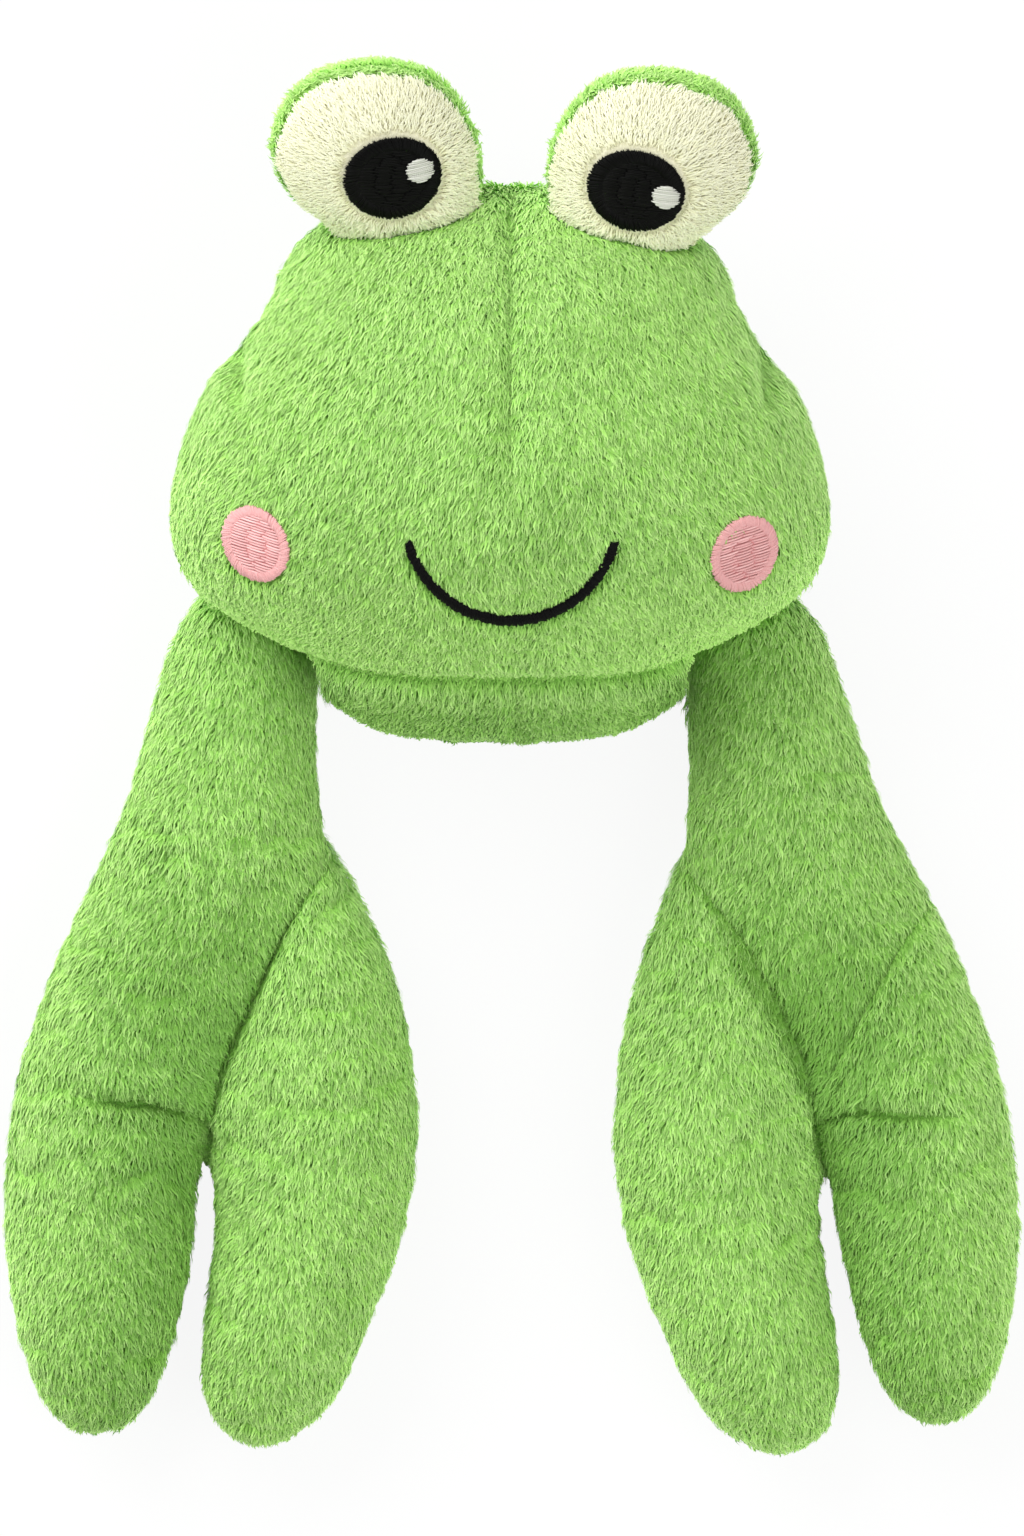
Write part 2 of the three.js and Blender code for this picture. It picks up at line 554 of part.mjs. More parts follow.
// The middle of the toy in plan becomes the origin, on the floor.
const room = new THREE.Box3().setFromObject(toy, true);
toy.position.set(-(room.min.x + room.max.x) / 2, -(room.min.y + room.max.y) / 2, -room.min.z);
toy.updateMatrixWorld(true);

export { limbs };
export default toy;
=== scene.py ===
"""Looks of a stuffed crab toy: plush panels with their pile, embroidery, filling and a studio.

Sizes in the classes are millimetres. Meshes are made in metres, in the axes of the frame: +Z is up from
the floor that the toy lies on, +Y points to the eyes and -X is the left side of the face.
"""
import json
import logging
import math
from dataclasses import dataclass, field, replace
from enum import Enum
from typing import ClassVar

import bmesh
import bpy
import numpy as np
from mathutils import Matrix, Vector
from mathutils.bvhtree import BVHTree


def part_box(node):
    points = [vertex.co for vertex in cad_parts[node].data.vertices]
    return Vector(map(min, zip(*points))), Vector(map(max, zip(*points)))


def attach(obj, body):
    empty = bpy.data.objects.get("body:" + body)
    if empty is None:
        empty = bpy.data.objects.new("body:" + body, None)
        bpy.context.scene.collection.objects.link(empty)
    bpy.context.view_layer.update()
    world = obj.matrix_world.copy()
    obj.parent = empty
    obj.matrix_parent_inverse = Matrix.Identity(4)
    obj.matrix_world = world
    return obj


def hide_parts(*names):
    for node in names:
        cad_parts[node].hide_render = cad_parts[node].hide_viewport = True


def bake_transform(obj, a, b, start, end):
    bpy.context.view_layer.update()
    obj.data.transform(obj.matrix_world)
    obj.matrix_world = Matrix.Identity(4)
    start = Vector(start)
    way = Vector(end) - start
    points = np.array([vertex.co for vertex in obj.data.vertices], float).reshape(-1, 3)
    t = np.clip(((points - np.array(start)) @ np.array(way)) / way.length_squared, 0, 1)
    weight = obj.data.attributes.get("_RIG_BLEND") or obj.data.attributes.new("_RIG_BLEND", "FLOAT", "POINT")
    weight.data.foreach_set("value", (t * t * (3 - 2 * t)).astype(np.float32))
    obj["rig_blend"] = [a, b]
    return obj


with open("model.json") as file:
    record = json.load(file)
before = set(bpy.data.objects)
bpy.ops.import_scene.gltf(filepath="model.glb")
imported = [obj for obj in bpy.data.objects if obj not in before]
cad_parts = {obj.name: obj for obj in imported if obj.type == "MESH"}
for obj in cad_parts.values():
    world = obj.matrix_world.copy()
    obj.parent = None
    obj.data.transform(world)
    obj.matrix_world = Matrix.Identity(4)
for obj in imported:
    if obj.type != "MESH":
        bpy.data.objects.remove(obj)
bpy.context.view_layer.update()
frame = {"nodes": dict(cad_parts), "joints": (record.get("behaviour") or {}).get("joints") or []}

log = logging.getLogger("crab_toy")
MM = 0.001
UP = Vector((0, 0, 1))
Pair = tuple[float, float]
Planes = list[tuple[Vector, Vector]]
Colour = tuple[float, float, float]
Faces = list[tuple[int, ...]]
Array = np.ndarray
Piece = bpy.types.Object
Panels = dict[str, Piece]
Mesh = bpy.types.Mesh
Material = bpy.types.Material
Socket = bpy.types.NodeSocket
# The shade mark carries painted light and painted shade into the tone of the pile.
CLOTH_MARKS = ("comb", "cover", "shade", "trim")
STITCH_MARKS = ("along", "up", "span", "tint")
WORK_MARKS = (*CLOTH_MARKS, *STITCH_MARKS, "tone", "reach")
FIBRE_MAP = "OFBake"


class Side(Enum):
    """Side of the toy, as seen by someone who faces it."""

    LEFT = -1
    RIGHT = 1

    @property
    def word(self) -> str:
        """Name of the side as nodes spell it."""
        return self.name.lower()


class Fabric(Enum):
    """Plush fabrics of the toy, by their material slot."""

    GREEN = "plush"
    CREAM = "cream_plush"


class Thread(Enum):
    """Embroidery threads, by their material slot."""

    BLACK = "black_thread"
    WHITE = "white_thread"
    PINK = "pink_thread"


class Profile:
    """Smooth curve through pairs of place and value, level beyond both ends."""

    def __init__(self, *pairs: Pair) -> None:
        """Keeps the pairs and their slopes.

        Args:
            pairs: places in rising order, each with its value.
        """
        self.places = np.array([place for place, _ in pairs], float)
        self.values = np.array([value for _, value in pairs], float)
        order = np.arange(len(pairs))
        before, after = np.maximum(order - 1, 0), np.minimum(order + 1, len(pairs) - 1)
        self.slopes = (self.values[after] - self.values[before]) / (self.places[after] - self.places[before])

    def __call__(self, place: Array | float) -> Array:
        """Values of the curve.

        Args:
            place: one place or an array of them.

        Returns:
            The curve's value at each place.
        """
        held = np.clip(place, self.places[0], self.places[-1])
        i = np.clip(np.searchsorted(self.places, held, side="right"), 1, len(self.places) - 1)
        span = self.places[i] - self.places[i - 1]
        s = (held - self.places[i - 1]) / span
        rise = (self.slopes[i - 1] * (1 - s) - self.slopes[i] * s) * span
        step = self.values[i] - self.values[i - 1]
        return self.values[i - 1] + step * s * s * (3 - 2 * s) + rise * s * (1 - s)


def smooth_step(low: float, high: float, value: Array) -> Array:
    """Soft step from 0 at the low end to 1 at the high end."""
    s = np.clip((value - low) / (high - low), 0, 1)
    return s * s * (3 - 2 * s)


def bell(away: Array, width: float) -> Array:
    """Bell curve: 1 at no distance, running out over a width."""
    return np.exp(-(away / width) ** 2)


@dataclass(frozen=True)
class Groove:
    """Groove that a seam draws into the plush."""

    depth: float
    width: float

    def __call__(self, away: Array) -> Array:
        """How deep the groove is at distances from its line."""
        return self.depth * bell(away, self.width)


def valley(aside: Array, broad: float, narrow: float, share: float = 0.55) -> Array:
    """Section of a seam that is narrow on its positive side, with a broad share on the other."""
    steep = bell(aside, narrow)
    return np.where(aside > 0, steep, (1 - share) * steep + share * bell(aside, broad))


def linked(name: str, data: bpy.types.ID) -> Piece:
    """A new object with that data, linked to the scene."""
    made = bpy.data.objects.new(name, data)
    bpy.context.scene.collection.objects.link(made)
    return made


def mesh_object(name: str, points: Array, faces: Faces, place: Matrix | None = None) -> Piece:
    """Makes a mesh object at the origin, with its place in its mesh.

    Args:
        name: name of the object.
        points: corners in millimetres.
        faces: corner numbers of each face.
        place: where the points' own axes stand in the frame.

    Returns:
        The new object, linked to the scene.
    """
    mesh = bpy.data.meshes.new(name)
    mesh.from_pydata((np.asarray(points, float) * MM).tolist(), [], faces)
    if place is not None:
        mesh.transform(place)
        if place.determinant() < 0:
            mesh.flip_normals()
    mesh.update()
    return linked(name, mesh)


def settle(piece: Piece) -> Piece:
    """Makes what an object's modifiers give its own mesh.

    Args:
        piece: object with live modifiers.

    Returns:
        The same object, with none.
    """
    bpy.context.view_layer.update()
    depsgraph = bpy.context.evaluated_depsgraph_get()
    mesh = bpy.data.meshes.new_from_object(piece.evaluated_get(depsgraph))
    piece.modifiers.clear()
    old, piece.data = piece.data, mesh
    bpy.data.meshes.remove(old)
    mesh.name = piece.name
    return piece


def combine(piece: Piece, tool: Piece, operation: str = "DIFFERENCE") -> Piece:
    """Cuts one closed form out of another, or joins both.

    Args:
        piece: form to cut or to join to.
        tool: the other form, which is removed afterwards.
        operation: DIFFERENCE to cut, UNION to join.

    Returns:
        The changed form.
    """
    modifier = piece.modifiers.new("combine", "BOOLEAN")
    modifier.operation = operation
    modifier.solver = "EXACT"
    modifier.object = tool
    settle(piece)
    bpy.data.objects.remove(tool)
    return piece


def corners_of(mesh: Mesh) -> Array:
    """Corner places of a mesh as rows, in metres."""
    places = np.empty(len(mesh.vertices) * 3, np.float32)
    mesh.vertices.foreach_get("co", places)
    return places.reshape(-1, 3).astype(float)


def normals_of(mesh: Mesh) -> Array:
    """Corner normals of a mesh as rows."""
    normals = np.empty(len(mesh.vertices) * 3, np.float32)
    mesh.vertex_normals.foreach_get("vector", normals)
    return normals.reshape(-1, 3).astype(float)


def move_corners(mesh: Mesh, points: Array) -> None:
    """Puts the corners of a mesh at new places, in metres."""
    mesh.vertices.foreach_set("co", points.astype(np.float32).ravel())
    mesh.update()


def even_faces(piece: Piece, size: float) -> Mesh:
    """Remeshes a closed form with even faces of a size, and returns its mesh."""
    remesh = piece.modifiers.new("even_faces", "REMESH")
    remesh.mode = "VOXEL"
    remesh.voxel_size = size * MM
    return settle(piece).data


def dress_in(mesh: Mesh, material: Material) -> None:
    """Gives a mesh one material."""
    mesh.materials.clear()
    mesh.materials.append(material)


def keep(mesh: Mesh, name: str, values: Array) -> None:
    """Stores one number or vector for each corner of a mesh.

    Args:
        mesh: mesh that keeps them.
        name: name of the attribute.
        values: a row or a number for each corner.
    """
    vector = values.ndim == 2
    made = mesh.attributes.new(name, "FLOAT_VECTOR" if vector else "FLOAT", "POINT")
    made.data.foreach_set("vector" if vector else "value", values.astype(np.float32).ravel())


def drop_marks(mesh: Mesh) -> None:
    """Removes the attributes that only growing and sewing need."""
    for name in [a.name for a in mesh.attributes if a.name in WORK_MARKS]:
        mesh.attributes.remove(mesh.attributes[name])


def head_middle() -> Vector:
    """Middle of the head in plan, on the floor."""
    low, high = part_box("back_panel")
    return Vector(((low.x + high.x) / 2, (low.y + high.y) / 2, 0))


class NodeBuilder:
    """Builder of nodes in one tree."""

    def __init__(self, tree: bpy.types.NodeTree) -> None:
        """Keeps the tree's nodes and links."""
        self.nodes, self.links = tree.nodes, tree.links

    def add(self, kind: str, inputs: dict | None = None, **settings: object) -> bpy.types.Node:
        """Adds a node.

        Args:
            kind: type of the node.
            inputs: values or sockets for its inputs, by name or number.
            settings: properties of the node.

        Returns:
            The new node.
        """
        node = self.nodes.new(kind)
        for name, value in settings.items():
            setattr(node, name, value)
        for name, value in (inputs or {}).items():
            socket = self.socket(node.inputs, name)
            if isinstance(value, Socket):
                self.links.new(value, socket)
            else:
                socket.default_value = value
        return node

    def clouds(self, place: Socket, scale: float, detail: float) -> bpy.types.Node:
        """Adds a cloudy pattern, so many to the metre."""
        return self.add("ShaderNodeTexNoise", {"Vector": place, "Scale": scale, "Detail": detail})

    @staticmethod
    def socket(sockets: object, name: str | int) -> Socket:
        """The socket of that number, or the first one in use of that name."""
        if isinstance(name, int):
            return sockets[name]
        return next(s for s in sockets if s.name == name and s.enabled)


class Tree(NodeBuilder):
    """Builder of one Geometry Nodes tree with named inputs."""

    def __init__(self, name: str) -> None:
        """Starts an empty tree that takes and gives a geometry.

        Args:
            name: name of the tree.
        """
        self.group = bpy.data.node_groups.new(name, "GeometryNodeTree")
        super().__init__(self.group)
        for way in ("INPUT", "OUTPUT"):
            self.group.interface.new_socket("Geometry", in_out=way, socket_type="NodeSocketGeometry")
        self.start = self.nodes.new("NodeGroupInput")
        self.end = self.nodes.new("NodeGroupOutput")

    def inlet(self, name: str, kind: str = "Float") -> Socket:
        """Adds a named input and returns the socket that gives its value inside the tree."""
        self.group.interface.new_socket(name, in_out="INPUT", socket_type=f"NodeSocket{kind}")
        return self.start.outputs[name]

    def math(self, operation: str, *values: object) -> Socket:
        """Number worked out from others by one operation."""
        return self.add("ShaderNodeMath", dict(enumerate(values)), operation=operation).outputs[0]

    def vector(self, operation: str, *values: object) -> Socket:
        """Vector worked out from others by one operation."""
        return self.add("ShaderNodeVectorMath", dict(enumerate(values)), operation=operation).outputs[0]

    def scaled(self, vector: object, factor: object) -> Socket:
        """Vector times a number."""
        return self.add("ShaderNodeVectorMath", {0: vector, "Scale": factor}, operation="SCALE").outputs[0]

    def level(self, vector: object, normal: object) -> Socket:
        """Part of a vector that lies in the surface of that normal."""
        dot = self.add("ShaderNodeVectorMath", {0: vector, 1: normal}, operation="DOT_PRODUCT")
        return self.vector("SUBTRACT", vector, self.scaled(normal, dot.outputs["Value"]))

    def triple(self, *parts: object) -> Socket:
        """Vector of up to three numbers."""
        return self.add("ShaderNodeCombineXYZ", dict(enumerate(parts))).outputs[0]

    def random(self, low: object, high: object, seed: object) -> Socket:
        """Even random number for each element."""
        node = self.add("FunctionNodeRandomValue", {"Min": low, "Max": high, "Seed": seed}, data_type="FLOAT")
        return self.socket(node.outputs, "Value")

    def attribute(self, name: str, kind: str = "FLOAT") -> Socket:
        """Stored attribute of the geometry."""
        node = self.add("GeometryNodeInputNamedAttribute", {"Name": name}, data_type=kind)
        return self.socket(node.outputs, "Attribute")

    def store(self, geometry: object, name: str, kind: str, domain: str, value: object) -> Socket:
        """Geometry with one more stored attribute."""
        inputs = {"Geometry": geometry, "Name": name, "Value": value}
        return self.add("GeometryNodeStoreNamedAttribute", inputs, data_type=kind, domain=domain).outputs[0]

    def shape_of(self, thing: object) -> Socket:
        """Geometry of another object."""
        return self.add("GeometryNodeObjectInfo", {"Object": thing}).outputs["Geometry"]

    def turned(self, along: object, up: object) -> Socket:
        """Turn that lays y along one vector, with z towards another."""
        axes = {"Primary Axis": along, "Secondary Axis": up}
        return self.add("FunctionNodeAxesToRotation", axes, primary_axis="Y", secondary_axis="Z").outputs[0]

    def laid(self, points: object, thing: object, turn: object, size: object, pick: bool = False) -> Socket:
        """Real copies of a thing on points, each picked from several if asked."""
        copies = self.add("GeometryNodeInstanceOnPoints", {
            "Points": points, "Instance": thing, "Pick Instance": pick, "Rotation": turn, "Scale": size})
        return self.add("GeometryNodeRealizeInstances", {0: copies.outputs[0]}).outputs[0]

    def finish(self, geometry: Socket, material: Socket) -> bpy.types.NodeTree:
        """Maps the tone and the reach of every fibre and gives the geometry its material.

        Args:
            geometry: what the tree makes.
            material: its material.

        Returns:
            The finished tree.
        """
        chart = self.triple(self.attribute("tone"), self.attribute("reach"))
        mapped = self.store(geometry, FIBRE_MAP, "FLOAT2", "CORNER", chart)
        dressed = self.add("GeometryNodeSetMaterial", {"Geometry": mapped, "Material": material})
        self.links.new(dressed.outputs[0], self.end.inputs["Geometry"])
        return self.group


def grown(tree: bpy.types.NodeTree, base: Piece, name: str, inputs: dict[str, object]) -> Piece:
    """Runs a tree on a copy of a mesh and keeps the result as a plain mesh.

    Args:
        tree: Geometry Nodes tree.
        base: object whose mesh goes in.
        name: name of the new object.
        inputs: values of the tree's named inputs.

    Returns:
        The new object, with no modifier.
    """
    made = linked(name, base.data.copy())
    modifier = made.modifiers.new(name, "NODES")
    modifier.node_group = tree
    for item in tree.interface.items_tree:
        if item.item_type == "SOCKET" and item.in_out == "INPUT" and item.name in inputs:
            modifier[item.identifier] = inputs[item.name]
    drop_marks(settle(made).data)
    return made


class Shader(NodeBuilder):
    """Builder of one procedural material."""

    def __init__(self, name: str, roughness: float, **sockets: object) -> None:
        """Starts a material with constant values on its shader.

        Args:
            name: name of the material.
            roughness: roughness of the surface.
            sockets: other constant shader values, with _ for a space in their names.
        """
        self.material = bpy.data.materials.new(name)
        self.material.use_nodes = True
        super().__init__(self.material.node_tree)
        self.surface = self.nodes["Principled BSDF"]
        self.surface.inputs["Roughness"].default_value = roughness
        for socket, value in sockets.items():
            self.surface.inputs[socket.replace("_", " ")].default_value = value

    def ramp(self, factor: Socket, *stops: tuple[float, Colour]) -> Socket:
        """Colour that runs through stops.

        Args:
            factor: place on the run, from 0 to 1.
            stops: places and their colours.

        Returns:
            The socket of the colour.
        """
        node = self.add("ShaderNodeValToRGB", {"Fac": factor})
        elements = node.color_ramp.elements
        while len(elements) < len(stops):
            elements.new(0.5)
        for element, (place, colour) in zip(elements, stops):
            element.position = place
            element.color = (*colour, 1)
        return node.outputs["Color"]

    def mix(self, factor: object, one: object, other: object) -> Socket:
        """Blend of two colours by a factor."""
        node = self.add("ShaderNodeMix", {0: factor, 6: one, 7: other}, data_type="RGBA")
        return node.outputs[2]

    def noise(self, scale: float, detail: float = 3) -> Socket:
        """Cloudy pattern on the piece's own place, so many to the metre."""
        place = self.add("ShaderNodeTexCoord").outputs["Object"]
        return self.clouds(place, scale, detail).outputs["Fac"]

    def bump(self, height: Socket, strength: float, distance: float) -> None:
        """Raises the surface by a pattern, distance in millimetres."""
        node = self.add("ShaderNodeBump", {"Height": height, "Strength": strength, "Distance": distance * MM})
        self.links.new(node.outputs["Normal"], self.surface.inputs["Normal"])

    def fibre_map(self) -> tuple[Socket, Socket, Socket]:
        """The piece's own map of its fibres: the place on it, the tone and the reach along a fibre."""
        place = self.add("ShaderNodeUVMap", uv_map=FIBRE_MAP).outputs["UV"]
        parts = self.add("ShaderNodeSeparateXYZ", {"Vector": place})
        return place, parts.outputs["X"], parts.outputs["Y"]

    def colour(self, socket: Socket) -> Material:
        """Sets the colour of the surface and returns the material."""
        self.links.new(socket, self.surface.inputs["Base Color"])
        return self.material


@dataclass(frozen=True)
class PileFinish:
    """Fibres of a plush: darker at the root, paler at the tip, each lock a little different."""

    name: str
    root: Colour
    middle: Colour
    tip: Colour
    spread: float = 0.22
    # Powers of each channel's change, so that dim tones, painted shade among them, are more saturated.
    depth: Colour = (1.0, 1.0, 1.0)

    def material(self) -> Material:
        """Material that reads tone and height along the fibre from the piece's own map."""
        shader = Shader(self.name, 0.62, Sheen_Weight=0.3, Sheen_Roughness=0.5,
                        Sheen_Tint=(0.75, 1, 0.4, 1), Specular_IOR_Level=0.2)
        _, tone, along = shader.fibre_map()
        # Dim and bright copies of the colours, mixed by tone: they give random tone and the painted light and
        # painted shade of the shade mark.
        dim, bright = (shader.ramp(along, *self.stops(share)) for share in (1 - self.spread, 1 + self.spread))
        return shader.colour(shader.mix(tone, dim, bright))

    def stops(self, share: float) -> list[tuple[float, Colour]]:
        """Colours from root to tip, dimmed or brightened by a share."""
        colours = ((0.0, self.root), (0.45, self.middle), (1.0, self.tip))
        return [(place, tuple(min(part * share ** power, 1) for part, power in zip(colour, self.depth)))
                for place, colour in colours]


@dataclass(frozen=True)
class BackingFinish:
    """Knitted backing that the pile grows from."""

    name: str
    low: Colour
    high: Colour

    def material(self) -> Material:
        """Material with fine knitted loops and uneven dye."""
        shader = Shader(self.name, 0.95, Sheen_Weight=0.1)
        loops = shader.noise(1400, 2)
        shader.bump(loops, 0.6, 0.4)
        return shader.colour(shader.ramp(loops, (0.3, self.low), (0.7, self.high)))


@dataclass(frozen=True)
class ThreadFinish:
    """Twisted embroidery thread."""

    name: str
    shade: Colour
    light: Colour
    sheen: float = 0.22
    roughness: float = 0.5
    twists: float = 9.0

    def material(self) -> Material:
        """Material whose twist runs along each stitch."""
        shader = Shader(self.name, self.roughness, Specular_IOR_Level=self.sheen)
        place, tone, _ = shader.fibre_map()
        wave = shader.add("ShaderNodeTexWave", {"Vector": place, "Scale": self.twists, "Distortion": 1.5},
                          bands_direction="DIAGONAL")
        twist = shader.ramp(wave.outputs["Fac"], (0.1, self.shade), (0.8, self.light))
        return shader.colour(shader.mix(tone, twist, shader.ramp(tone, (0, self.shade), (1, self.light))))


@dataclass(frozen=True)
class FibreFinish:
    """Loose white polyester filling."""

    name: str = "polyester_filling"
    shadow: Colour = (0.62, 0.61, 0.57)
    light: Colour = (0.92, 0.91, 0.88)

    def material(self) -> Material:
        """Material with matted curls of fibre."""
        shader = Shader(self.name, 1.0, Sheen_Weight=0.3)
        curls = shader.noise(420, 8)
        shader.bump(curls, 0.9, 1.5)
        return shader.colour(shader.ramp(curls, (0.3, self.shadow), (0.65, self.light)))


@dataclass(frozen=True)
class PlasticFinish:
    """Moulded plastic of the squeaker."""

    name: str
    low: Colour
    high: Colour
    roughness: float

    def material(self) -> Material:
        """Material with slight mottling and a fine moulded grain."""
        shader = Shader(self.name, self.roughness)
        grain = shader.noise(900, 4)
        shader.bump(grain, 0.15, 0.1)
        return shader.colour(shader.ramp(shader.noise(80), (0.3, self.low), (0.7, self.high)))


@dataclass
class Rows:
    """Cross-sections of a stuffed form, one number of each kind for every level along it."""

    middle: Array
    height: Array
    half: Array
    above: Array
    below: Array


@dataclass
class StuffedForm:
    """Closed form of sewn plush with its own axes: x across, y along and z out of the front."""

    name: str
    place: Matrix
    full: float = 2.2
    levels: int = 96
    sides: int = 80
    swell: float = 1.0

    # Painted light on steep sides and painted shade in seams, both as tone of the pile.
    STEEP_PALER, SEAM_DARKER, DARKEST_DEPTH = 0.7, 0.03, 5

    def ends(self) -> Pair:
        """Lowest and highest level of the form."""
        raise NotImplementedError

    def section(self, y: Array) -> Rows:
        """Cross-sections at levels along the form."""
        raise NotImplementedError

    def rise(self, x: Array, y: Array) -> Array:
        """Extra height of the front."""
        return np.zeros(np.broadcast(x, y).shape)

    def closed(self) -> Piece:
        """The whole form, cut where it meets its neighbours."""
        return self.solid()

    def swelling(self, points: Array) -> Array:
        """How far the filling pushes the plush out at points of the form."""
        return np.full(len(points), self.swell)

    def seam_depth(self, points: Array) -> Array:
        """How deep seams and creases draw the plush in at points of the form."""
        raise NotImplementedError

    def comb(self, points: Array, normals: Array) -> Array:
        """Way that the pile lies at points of the form."""
        raise NotImplementedError

    def cover(self, points: Array, normals: Array) -> Array:
        """Share of the pile that grows at points of the form."""
        return np.ones(len(points))

    def shade(self, points: Array, normals: Array) -> Array:
        """Painted light that makes the pile paler on steep sides, and painted shade that makes it darker in
        seams.
        """
        steep = 1 - np.abs(normals[:, 2])
        deep = np.minimum(self.seam_depth(points), self.DARKEST_DEPTH)
        # steep sides get painted rim light, seams get painted shade
        return self.STEEP_PALER * steep ** 1.5 - self.SEAM_DARKER * deep

    def trim(self, points: Array) -> Array:
        """Share of its length that the pile has, shorter where it would cross a seam."""
        return np.ones(len(points))

    def planes(self) -> Planes:
        """Seam planes between panels, each a point and a normal."""
        raise NotImplementedError

    def panel(self, points: Array) -> Array:
        """Name of the panel that each point lies on."""
        raise NotImplementedError

    def outline(self, grow: float = 0.0) -> tuple[Array, Faces]:
        """Corners and faces of the form.

        Args:
            grow: how far the form is moved out.

        Returns:
            Corners in the form's own axes, and faces.
        """
        low, high = self.ends()
        share = (1 - np.cos(np.pi * (np.arange(self.levels) + 0.5) / self.levels)) / 2
        y = low + (high - low) * share
        rows = self.section(y)
        turn = 2 * np.pi * np.arange(self.sides) / self.sides
        across = np.sign(np.cos(turn)) * np.abs(np.cos(turn)) ** (2 / self.full)
        lift = np.sign(np.sin(turn)) * np.abs(np.sin(turn)) ** (2 / self.full)
        x = rows.middle[:, None] + (rows.half + grow)[:, None] * across
        reach = np.where(lift > 0, (rows.above + grow)[:, None], (rows.below + grow)[:, None])
        z = rows.height[:, None] + lift * reach + np.maximum(lift, 0) * self.rise(x, y[:, None])
        along = np.repeat((y + grow * (2 * share - 1))[:, None], self.sides, axis=1)
        rings = np.stack([x, along, z], axis=2).reshape(-1, 3)
        last = len(rings)
        poles = [[rows.middle[i], end, rows.height[i]] for i, end in ((0, low - grow), (-1, high + grow))]
        faces: Faces = []
        for i in range(self.levels - 1):
            for k in range(self.sides):
                a, b = i * self.sides + k, i * self.sides + (k + 1) % self.sides
                faces.append((a, a + self.sides, b + self.sides, b))
        top = (self.levels - 1) * self.sides
        for k in range(self.sides):
            after = (k + 1) % self.sides
            faces.append((last, k, after))
            faces.append((last + 1, top + after, top + k))
        return np.vstack([rings, poles]), faces

    def solid(self, grow: float = 0.0) -> Piece:
        """The form as a mesh object, moved out by so much."""
        return mesh_object(self.name, *self.outline(grow), self.place)

    def local(self, points: Array) -> Array:
        """Points of the frame, in metres, as points of the form's own axes."""
        turn = np.array(self.place.inverted())
        return (points @ turn[:3, :3].T + turn[:3, 3]) / MM

    def local_way(self, ways: Array) -> Array:
        """Directions of the frame as directions of the form's own axes."""
        return ways @ np.array(self.place.to_3x3())

    def frame_way(self, ways: Array) -> Array:
        """Directions of the form's own axes as directions of the frame."""
        return ways @ np.array(self.place.to_3x3()).T

    def at(self, x: float, y: float, z: float) -> Vector:
        """Point of the form's own axes in the frame."""
        return self.place @ Vector((x * MM, y * MM, z * MM))


